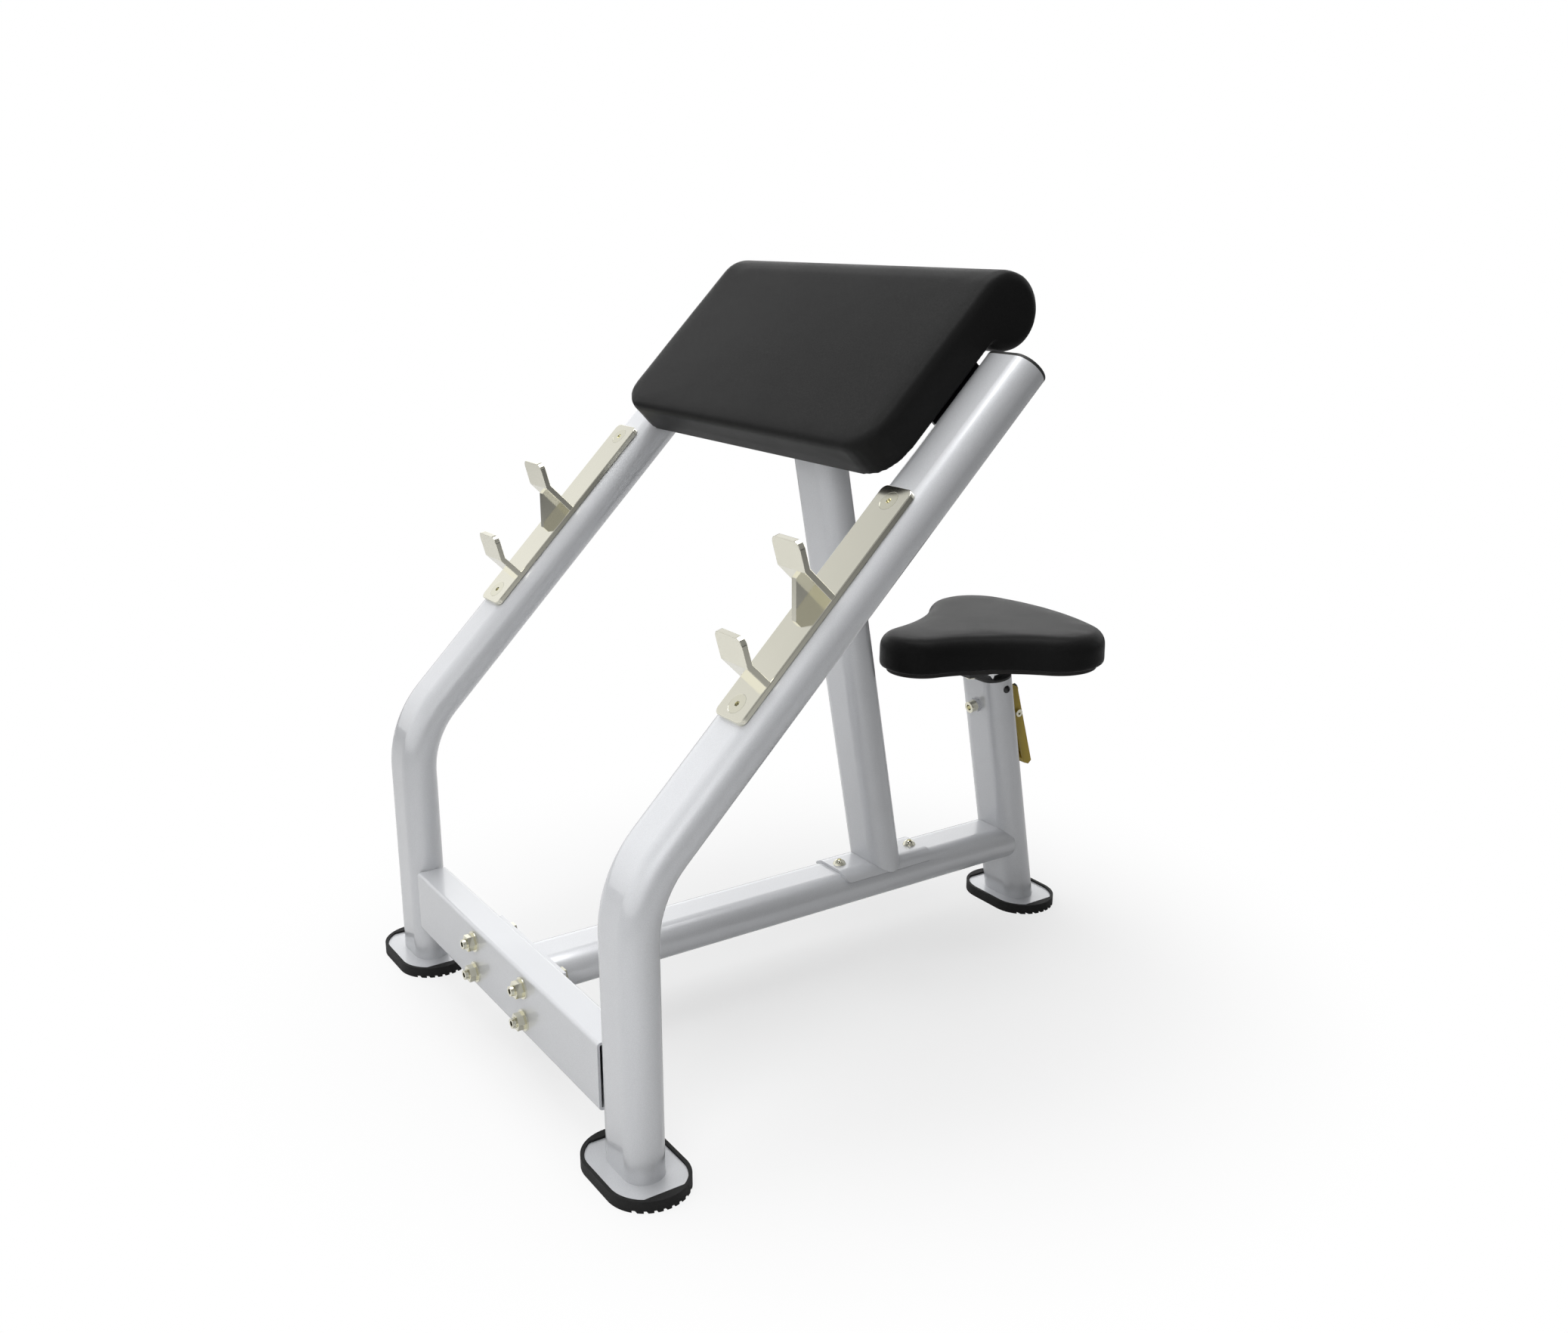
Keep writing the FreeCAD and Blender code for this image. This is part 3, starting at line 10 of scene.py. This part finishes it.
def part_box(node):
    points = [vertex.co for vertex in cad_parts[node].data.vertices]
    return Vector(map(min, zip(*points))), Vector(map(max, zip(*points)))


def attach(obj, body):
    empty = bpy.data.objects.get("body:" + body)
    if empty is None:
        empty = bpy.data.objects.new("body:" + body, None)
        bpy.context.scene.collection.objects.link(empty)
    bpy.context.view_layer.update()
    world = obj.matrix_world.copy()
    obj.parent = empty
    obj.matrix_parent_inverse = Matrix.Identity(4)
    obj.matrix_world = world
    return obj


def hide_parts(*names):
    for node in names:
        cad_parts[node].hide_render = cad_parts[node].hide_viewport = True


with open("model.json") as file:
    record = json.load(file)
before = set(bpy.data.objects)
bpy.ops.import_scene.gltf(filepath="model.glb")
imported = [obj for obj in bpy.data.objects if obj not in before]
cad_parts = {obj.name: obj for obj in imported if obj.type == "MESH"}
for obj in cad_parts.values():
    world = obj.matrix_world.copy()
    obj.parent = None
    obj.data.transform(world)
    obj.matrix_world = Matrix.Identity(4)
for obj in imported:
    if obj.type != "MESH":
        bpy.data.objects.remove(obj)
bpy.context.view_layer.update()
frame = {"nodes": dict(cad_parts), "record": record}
nodes = frame["nodes"]
scene = bpy.context.scene
scene.view_settings.view_transform = "Standard"

# Where the camera stands, in metres and degrees, and its lens and sensor in millimetres
CAMERA_AT = Vector((1.5225, -1.0375, 0.9590))
CAMERA_AZIMUTH = 56.203
CAMERA_ELEVATION = 16.402
CAMERA_LENS = 34.566
CAMERA_SENSOR = 36.0

# The floor: half its side, its colour, how far it is lifted to white under the bench, and the
# distances from the middle, in metres, over which the lift grows to full white
FLOOR_HALF = 20.0
FLOOR_COLOR = (0.56, 0.56, 0.56)
FLOOR_LIFT = 0.62
FLOOR_FADE = (0.15, 0.8)

# The room: the strength and colour of the fill light, and the side and the ceiling that are dimmer,
# with where each dimming starts and ends and what it leaves of the brightness
FILL_LIGHT = 0.26
FILL_COLOR = (0.97, 0.985, 1.0)
DIM_SIDE = (0.92, 0.30, -0.25)
DIM_SIDE_RANGE = (0.0, 0.9)
DIM_SIDE_LEFT = 0.2
DIM_CEILING_RANGE = (0.20, 0.95)
DIM_CEILING_LEFT = 0.2

# The lamps: name, place and aim in metres, width, height, watts, and whether reflections show them
LAMPS = (
    ("left_key", (-2.0, -0.3, 2.3), (0.0, 0.0, 0.3), 2.0, 2.0, 49.0, False),
    ("front_top", (-0.6, -1.3, 2.8), (0.0, 0.0, 0.3), 1.5, 1.5, 27.0, False),
    ("right_fill", (0.9, -1.0, 1.0), (0.3, -0.4, 0.4), 0.5, 0.5, 8.5, False),
    ("overhead", (-0.2, 0.3, 3.0), (0.0, 0.1, 0.3), 2.0, 2.0, 51.0, True),
    ("rear_panel", (-2.4, 1.6, 1.0), (0.0, 0.1, 0.35), 2.6, 1.3, 6.0, True),
)

# Sizes of the surface detail, in metres
FLAKE_SIZE = 0.0007
GRAIN_SIZE = 0.0011
RUBBER_SIZE = 0.0006
PLATING_SIZE = 0.002
BOARD_GRAIN_SIZE = 0.004

# The slow drift of a finish, in cells to the metre, how much of it the roughness takes up, and how
# steeply the grain rises from its creases
DRIFT_CELLS = 14.0
DRIFT_ROUGHNESS = 0.6
CREASE_SLOPE = 6.0

# How the foam swells, in metres: the remeshed cell, how far the cover is drawn in, and the most
# that a point may then rise
FOAM_CELL = 0.004
FOAM_SHRINK = 0.0005
FOAM_LIMIT = 0.0011

# The cloth of the cover, the frames it is blown up for, and how often its rise is evened out,
# because the firm foam shows no wrinkles
FOAM_PRESSURE = 4.0
FOAM_STIFFNESS = 40.0
FOAM_BENDING = 4.0
FOAM_FRAMES = 20
FOAM_EVENING = 12

# How far up the covers are held: from the middle of the pad's board, and from the seat's underside
PAD_HELD = 0.012
SEAT_HELD = 0.006


# Node groups that several finishes share

def new_group(name, inputs, outputs):
    """A shader node group with float or colour sockets, and its two end nodes."""
    group = bpy.data.node_groups.new(name, "ShaderNodeTree")
    for label, kind, value in inputs:
        socket = group.interface.new_socket(name=label, in_out="INPUT", socket_type=kind)
        socket.default_value = value
    for label, kind in outputs:
        group.interface.new_socket(name=label, in_out="OUTPUT", socket_type=kind)
    return group, group.nodes.new("NodeGroupInput"), group.nodes.new("NodeGroupOutput")


def add(tree, kind, **settings):
    """A new node with these settings."""
    node = tree.nodes.new(kind)
    for name, value in settings.items():
        setattr(node, name, value)
    return node


def math_node(tree, operation, first, second):
    """The value of a sum or other operation on two numbers or sockets."""
    node = add(tree, "ShaderNodeMath", operation=operation)
    for socket, value in zip(node.inputs, (first, second)):
        if isinstance(value, (int, float)):
            socket.default_value = value
        else:
            tree.links.new(value, socket)
    return node.outputs["Value"]


def noise(tree, cells, detail):
    """Noise over the object's own coordinates, with this many cells to the metre."""
    place = add(tree, "ShaderNodeTexCoord")
    texture = add(tree, "ShaderNodeTexNoise")
    tree.links.new(place.outputs["Object"], texture.inputs["Vector"])
    tree.links.new(cells, texture.inputs["Scale"])
    texture.inputs["Detail"].default_value = detail
    return texture.outputs["Fac"]


def make_mottle_group():
    """A colour and a roughness that drift a little over the surface, and a fine speckle."""
    group, given, made = new_group(
        "Mottle",
        [("Color", "NodeSocketColor", (0.5, 0.5, 0.5, 1.0)), ("Roughness", "NodeSocketFloat", 0.4),
         ("Speckle Size", "NodeSocketFloat", 0.001), ("Speckle", "NodeSocketFloat", 0.1),
         ("Drift", "NodeSocketFloat", 0.05)],
        [("Color", "NodeSocketColor"), ("Roughness", "NodeSocketFloat"),
         ("Height", "NodeSocketFloat")])
    cells = math_node(group, "DIVIDE", 1.0, given.outputs["Speckle Size"])
    fine = noise(group, cells, detail=1.0)
    broad_cells = add(group, "ShaderNodeValue")
    broad_cells.outputs[0].default_value = DRIFT_CELLS
    broad = noise(group, broad_cells.outputs[0], detail=3.0)
    speckle = math_node(group, "MULTIPLY", math_node(group, "SUBTRACT", fine, 0.5),
                        given.outputs["Speckle"])
    drift = math_node(group, "MULTIPLY", math_node(group, "SUBTRACT", broad, 0.5),
                      given.outputs["Drift"])
    lightness = math_node(group, "ADD", math_node(group, "ADD", speckle, drift), 1.0)
    tint = add(group, "ShaderNodeVectorMath", operation="SCALE")
    group.links.new(given.outputs["Color"], tint.inputs[0])
    group.links.new(lightness, tint.inputs["Scale"])
    group.links.new(tint.outputs["Vector"], made.inputs["Color"])
    rough = math_node(group, "SUBTRACT", given.outputs["Roughness"],
                      math_node(group, "MULTIPLY", drift, DRIFT_ROUGHNESS))
    group.links.new(rough, made.inputs["Roughness"])
    group.links.new(fine, made.inputs["Height"])
    return group


def make_grain_group():
    """Rounded pebbles with fine creases between them, as on moulded or embossed skins."""
    group, given, made = new_group(
        "Grain", [("Size", "NodeSocketFloat", 0.001)], [("Height", "NodeSocketFloat")])
    place = add(group, "ShaderNodeTexCoord")
    cells = math_node(group, "DIVIDE", 1.0, given.outputs["Size"])
    pebbles = add(group, "ShaderNodeTexVoronoi", feature="SMOOTH_F1")
    group.links.new(place.outputs["Object"], pebbles.inputs["Vector"])
    group.links.new(cells, pebbles.inputs["Scale"])
    creases = add(group, "ShaderNodeTexVoronoi", feature="DISTANCE_TO_EDGE")
    group.links.new(place.outputs["Object"], creases.inputs["Vector"])
    group.links.new(cells, creases.inputs["Scale"])
    top = math_node(group, "SUBTRACT", 1.0, pebbles.outputs["Distance"])
    line = math_node(group, "MULTIPLY", creases.outputs["Distance"], CREASE_SLOPE)
    line = math_node(group, "MINIMUM", line, 1.0)
    group.links.new(math_node(group, "MULTIPLY", top, line), made.inputs["Height"])
    return group


mottle_group = make_mottle_group()
grain_group = make_grain_group()


# Finishes

def new_finish(name, color, roughness, speckle_size, speckle, drift):
    """A material whose colour and roughness come from the mottle group."""
    material = bpy.data.materials.new(name)
    material.use_nodes = True
    tree = material.node_tree
    shader = tree.nodes["Principled BSDF"]
    mottle = add(tree, "ShaderNodeGroup", node_tree=mottle_group)
    mottle.inputs["Color"].default_value = (*color, 1.0)
    mottle.inputs["Roughness"].default_value = roughness
    mottle.inputs["Speckle Size"].default_value = speckle_size
    mottle.inputs["Speckle"].default_value = speckle
    mottle.inputs["Drift"].default_value = drift
    tree.links.new(mottle.outputs["Color"], shader.inputs["Base Color"])
    tree.links.new(mottle.outputs["Roughness"], shader.inputs["Roughness"])
    return material, tree, shader, mottle


def bump(tree, shader, height, depth):
    """Raise the surface by this height, with its depth in metres."""
    node = add(tree, "ShaderNodeBump")
    node.inputs["Distance"].default_value = depth
    node.inputs["Strength"].default_value = 1.0
    tree.links.new(height, node.inputs["Height"])
    tree.links.new(node.outputs["Normal"], shader.inputs["Normal"])


def grained(tree, shader, size, depth):
    """Emboss the surface with the grain group."""
    grain = add(tree, "ShaderNodeGroup", node_tree=grain_group)
    grain.inputs["Size"].default_value = size
    bump(tree, shader, grain.outputs["Height"], depth)


def silver_paint():
    material, tree, shader, mottle = new_finish(
        "silver_powder_coat", color=(0.63, 0.64, 0.66), roughness=0.38,
        speckle_size=FLAKE_SIZE, speckle=0.28, drift=0.03)
    shader.inputs["Metallic"].default_value = 0.4
    shader.inputs["Coat Weight"].default_value = 0.9
    shader.inputs["Coat Roughness"].default_value = 0.07
    bump(tree, shader, mottle.outputs["Height"], depth=0.00003)
    return material


def plated(name, color, roughness):
    material, _, shader, _ = new_finish(
        name, color, roughness, speckle_size=PLATING_SIZE, speckle=0.02, drift=0.06)
    shader.inputs["Metallic"].default_value = 1.0
    return material


def black_paint():
    material, tree, shader, mottle = new_finish(
        "black_semi_gloss_paint", color=(0.022, 0.022, 0.022), roughness=0.32,
        speckle_size=FLAKE_SIZE, speckle=0.3, drift=0.2)
    bump(tree, shader, mottle.outputs["Height"], depth=0.00004)
    return material


def yellow_paint():
    material, tree, shader, mottle = new_finish(
        "yellow_powder_coat", color=(0.50, 0.36, 0.035), roughness=0.36,
        speckle_size=FLAKE_SIZE, speckle=0.15, drift=0.08)
    bump(tree, shader, mottle.outputs["Height"], depth=0.00004)
    return material


def black_plastic():
    material, tree, shader, _ = new_finish(
        "black_moulded_plastic", color=(0.02, 0.02, 0.02), roughness=0.45,
        speckle_size=RUBBER_SIZE, speckle=0.2, drift=0.2)
    grained(tree, shader, RUBBER_SIZE, depth=0.00005)
    return material


def black_rubber():
    material, tree, shader, _ = new_finish(
        "black_rubber", color=(0.012, 0.012, 0.012), roughness=0.62,
        speckle_size=RUBBER_SIZE, speckle=0.3, drift=0.25)
    shader.inputs["Specular IOR Level"].default_value = 0.25
    grained(tree, shader, RUBBER_SIZE, depth=0.00008)
    return material


def black_vinyl():
    material, tree, shader, _ = new_finish(
        "black_grained_vinyl", color=(0.012, 0.012, 0.012), roughness=0.36,
        speckle_size=GRAIN_SIZE, speckle=0.25, drift=0.15)
    shader.inputs["Specular IOR Level"].default_value = 0.06
    grained(tree, shader, GRAIN_SIZE, depth=0.00008)
    return material


def stained_board():
    material, tree, shader, mottle = new_finish(
        "black_stained_plywood", color=(0.012, 0.011, 0.010), roughness=0.7,
        speckle_size=BOARD_GRAIN_SIZE, speckle=0.5, drift=0.4)
    bump(tree, shader, mottle.outputs["Height"], depth=0.0001)
    return material


finishes = {
    "frame_paint": silver_paint(),
    "plated_rack": plated("bright_nickel", (0.88, 0.86, 0.74), 0.12),
    "plated_fasteners": plated("fastener_nickel", (0.84, 0.82, 0.68), 0.13),
    "chrome_tube": plated("mirror_chrome", (0.82, 0.83, 0.84), 0.06),
    "spring_steel": plated("spring_steel", (0.45, 0.45, 0.45), 0.3),
    "black_steel": black_paint(),
    "black_plastic": black_plastic(),
    "black_rubber": black_rubber(),
    "black_vinyl": black_vinyl(),
    "plywood": stained_board(),
    "yellow_paint": yellow_paint(),
}
for part in frame["record"]["subparts"]:
    mesh = nodes[part["node"]].data
    mesh.materials.clear()
    mesh.materials.append(finishes[part["material_slot"]])


# Cushions: foam under vinyl

def remeshed(node, name):
    """A copy of a CAD cushion as an even mesh of small cells that lies on its surface."""
    piece = bpy.data.objects.new(name, nodes[node].data.copy())
    scene.collection.objects.link(piece)
    cells = piece.modifiers.new("cells", "REMESH")
    cells.mode = "VOXEL"
    cells.voxel_size = FOAM_CELL
    graph = bpy.context.evaluated_depsgraph_get()
    even = bpy.data.meshes.new_from_object(piece.evaluated_get(graph))
    surface = BVHTree.FromObject(nodes[node], graph)
    for vertex in even.vertices:
        vertex.co = surface.find_nearest(vertex.co)[0]
    piece.modifiers.clear()
    piece.data = even
    even.name = name
    return piece


def evened(rise, free, mesh):
    """The rise of each free point, averaged again and again with its neighbours."""
    ends = np.array([edge.vertices[:] for edge in mesh.edges])
    count = np.bincount(ends.ravel(), minlength=len(rise))
    for _ in range(FOAM_EVENING):
        total = np.bincount(ends[:, 0], rise[ends[:, 1]], len(rise))
        total += np.bincount(ends[:, 1], rise[ends[:, 0]], len(rise))
        rise = np.where(free, (rise + total / count) / 2, 0.0)
    return rise


def swell(piece, held):
    """Draw the cushion's cover in, blow it up as cloth, and keep the even part of the rise."""
    mesh = piece.data
    normals = [vertex.normal.copy() for vertex in mesh.vertices]
    full = [vertex.co.copy() for vertex in mesh.vertices]
    free = np.array([not held(place) for place in full])
    for vertex, normal, loose in zip(mesh.vertices, normals, free):
        if loose:
            vertex.co -= normal * FOAM_SHRINK
    pins = piece.vertex_groups.new(name="held")
    pins.add([int(index) for index in np.flatnonzero(~free)], 1.0, "REPLACE")
    cloth = piece.modifiers.new("foam", "CLOTH")
    cloth.settings.use_pressure = True
    cloth.settings.uniform_pressure_force = FOAM_PRESSURE
    cloth.settings.effector_weights.gravity = 0.0
    cloth.settings.vertex_group_mass = "held"
    cloth.settings.tension_stiffness = FOAM_STIFFNESS
    cloth.settings.compression_stiffness = FOAM_STIFFNESS
    cloth.settings.bending_stiffness = FOAM_BENDING
    cloth.point_cache.frame_start = 1
    cloth.point_cache.frame_end = FOAM_FRAMES
    for step in range(1, FOAM_FRAMES + 1):
        scene.frame_set(step)
    filled = piece.evaluated_get(bpy.context.evaluated_depsgraph_get())
    rise = np.array([(end.co - start).dot(normal)
                     for end, start, normal in zip(filled.data.vertices, full, normals)])
    piece.modifiers.clear()
    scene.frame_set(1)
    rise = evened(np.clip(rise, -FOAM_SHRINK, FOAM_LIMIT - FOAM_SHRINK), free, mesh)
    for vertex, place, normal, amount in zip(mesh.vertices, full, normals, rise):
        vertex.co = place + normal * float(amount)


def make_cushion(node, name, body, held):
    """The cushion that stands for a CAD solid; held says which places of its cover are fixed."""
    piece = remeshed(node, name)
    swell(piece, held)
    piece.data.materials.clear()
    piece.data.materials.append(finishes["black_vinyl"])
    piece.data.shade_smooth()
    finer = piece.modifiers.new("finer", "SUBSURF")
    finer.levels = 1
    finer.render_levels = 1
    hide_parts(node)
    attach(piece, body)


pad_normal = Vector((0.0, -math.sqrt(0.5), math.sqrt(0.5)))
board_low, board_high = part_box("pad_board")
board_middle = (board_low + board_high) / 2
pad_held_at = board_middle.dot(pad_normal) + PAD_HELD
seat_held_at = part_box("seat_cushion")[0].z + SEAT_HELD

make_cushion("arm_pad", "arm_pad_cushion", "frame",
             lambda place: place.dot(pad_normal) < pad_held_at)
make_cushion("seat_cushion", "saddle_cushion", "seat",
             lambda place: place.z < seat_held_at)


# Floor, light and camera

def falloff(tree, value, low, high):
    """A smooth step from 0 at low to 1 at high."""
    step = add(tree, "ShaderNodeMapRange", interpolation_type="SMOOTHSTEP")
    step.inputs["From Min"].default_value = low
    step.inputs["From Max"].default_value = high
    tree.links.new(value, step.inputs["Value"])
    return step.outputs["Result"]


def make_floor():
    """A white floor that keeps a soft shadow and fades into the white background."""
    mesh = bpy.data.meshes.new("floor")
    corners = [(x * FLOOR_HALF, y * FLOOR_HALF, 0)
               for x, y in ((-1, -1), (1, -1), (1, 1), (-1, 1))]
    mesh.from_pydata(corners, [], [(0, 1, 2, 3)])
    floor = bpy.data.objects.new("floor", mesh)
    scene.collection.objects.link(floor)
    material = bpy.data.materials.new("white_floor")
    material.use_nodes = True
    tree = material.node_tree
    shader = tree.nodes["Principled BSDF"]
    shader.inputs["Base Color"].default_value = (*FLOOR_COLOR, 1.0)
    shader.inputs["Roughness"].default_value = 0.9
    shader.inputs["Specular IOR Level"].default_value = 0.0
    place = add(tree, "ShaderNodeTexCoord")
    distance = add(tree, "ShaderNodeVectorMath", operation="LENGTH")
    tree.links.new(place.outputs["Object"], distance.inputs[0])
    far = falloff(tree, distance.outputs["Value"], *FLOOR_FADE)
    whiter = math_node(tree, "MULTIPLY", far, 1.0 - FLOOR_LIFT)
    whiter = math_node(tree, "ADD", whiter, FLOOR_LIFT)
    path = add(tree, "ShaderNodeLightPath")
    whiter = math_node(tree, "MULTIPLY", whiter, path.outputs["Is Camera Ray"])
    white = add(tree, "ShaderNodeEmission")
    mix = add(tree, "ShaderNodeMixShader")
    tree.links.new(whiter, mix.inputs["Fac"])
    tree.links.new(shader.outputs["BSDF"], mix.inputs[1])
    tree.links.new(white.outputs["Emission"], mix.inputs[2])
    tree.links.new(mix.outputs["Shader"], tree.nodes["Material Output"].inputs["Surface"])
    mesh.materials.append(material)


def dimmed(tree, value, span, left):
    """A brightness that falls from 1 to what is left as the value goes through the span."""
    drop = math_node(tree, "MULTIPLY", falloff(tree, value, *span), 1.0 - left)
    return math_node(tree, "SUBTRACT", 1.0, drop)


def make_world():
    """White to the camera; reflections and the soft fill are dimmer to the right and above."""
    world = bpy.data.worlds.new("studio")
    scene.world = world
    world.use_nodes = True
    tree = world.node_tree
    tree.nodes.clear()
    place = add(tree, "ShaderNodeTexCoord")
    facing = add(tree, "ShaderNodeVectorMath", operation="DOT_PRODUCT")
    facing.inputs[1].default_value = DIM_SIDE
    tree.links.new(place.outputs["Generated"], facing.inputs[0])
    side = dimmed(tree, facing.outputs["Value"], DIM_SIDE_RANGE, DIM_SIDE_LEFT)
    split = add(tree, "ShaderNodeSeparateXYZ")
    tree.links.new(place.outputs["Generated"], split.inputs["Vector"])
    ceiling = dimmed(tree, split.outputs["Z"], DIM_CEILING_RANGE, DIM_CEILING_LEFT)
    bright = math_node(tree, "MULTIPLY", side, ceiling)
    path = add(tree, "ShaderNodeLightPath")
    mirrored = math_node(tree, "MULTIPLY", path.outputs["Is Glossy Ray"], bright)
    seen = math_node(tree, "MAXIMUM", path.outputs["Is Camera Ray"], mirrored)
    seen = math_node(tree, "MAXIMUM", seen, path.outputs["Is Transmission Ray"])
    fill = add(tree, "ShaderNodeBackground")
    fill.inputs["Color"].default_value = (*FILL_COLOR, 1.0)
    tree.links.new(math_node(tree, "MULTIPLY", bright, FILL_LIGHT), fill.inputs["Strength"])
    white = add(tree, "ShaderNodeBackground")
    white.inputs["Color"].default_value = (1.0, 1.0, 1.0, 1.0)
    white.inputs["Strength"].default_value = 1.0
    mix = add(tree, "ShaderNodeMixShader")
    tree.links.new(seen, mix.inputs["Fac"])
    tree.links.new(fill.outputs["Background"], mix.inputs[1])
    tree.links.new(white.outputs["Background"], mix.inputs[2])
    output = add(tree, "ShaderNodeOutputWorld")
    tree.links.new(mix.outputs["Shader"], output.inputs["Surface"])


def area_light(name, place, target, width, height, power, mirrored):
    """A soft lamp that the camera never sees; mirrored says whether reflections show it."""
    data = bpy.data.lights.new(name, "AREA")
    data.shape = "RECTANGLE"
    data.size = width
    data.size_y = height
    data.energy = power
    light = bpy.data.objects.new(name, data)
    scene.collection.objects.link(light)
    light.visible_camera = False
    light.visible_glossy = mirrored
    light.location = place
    light.rotation_mode = "QUATERNION"
    light.rotation_quaternion = (Vector(target) - Vector(place)).to_track_quat("-Z", "Y")


def make_camera():
    """The camera at the place and angle from which the photo was taken."""
    data = bpy.data.cameras.new("camera")
    data.lens = CAMERA_LENS
    data.sensor_width = CAMERA_SENSOR
    data.sensor_fit = "HORIZONTAL"
    camera = bpy.data.objects.new("camera", data)
    scene.collection.objects.link(camera)
    azimuth = math.radians(CAMERA_AZIMUTH)
    elevation = math.radians(CAMERA_ELEVATION)
    back = Vector((math.sin(azimuth) * math.cos(elevation),
                   -math.cos(azimuth) * math.cos(elevation),
                   math.sin(elevation)))
    camera.location = CAMERA_AT
    camera.rotation_mode = "QUATERNION"
    camera.rotation_quaternion = (-back).to_track_quat("-Z", "Y")
    scene.camera = camera


make_floor()
make_world()
for lamp in LAMPS:
    area_light(*lamp)
make_camera()
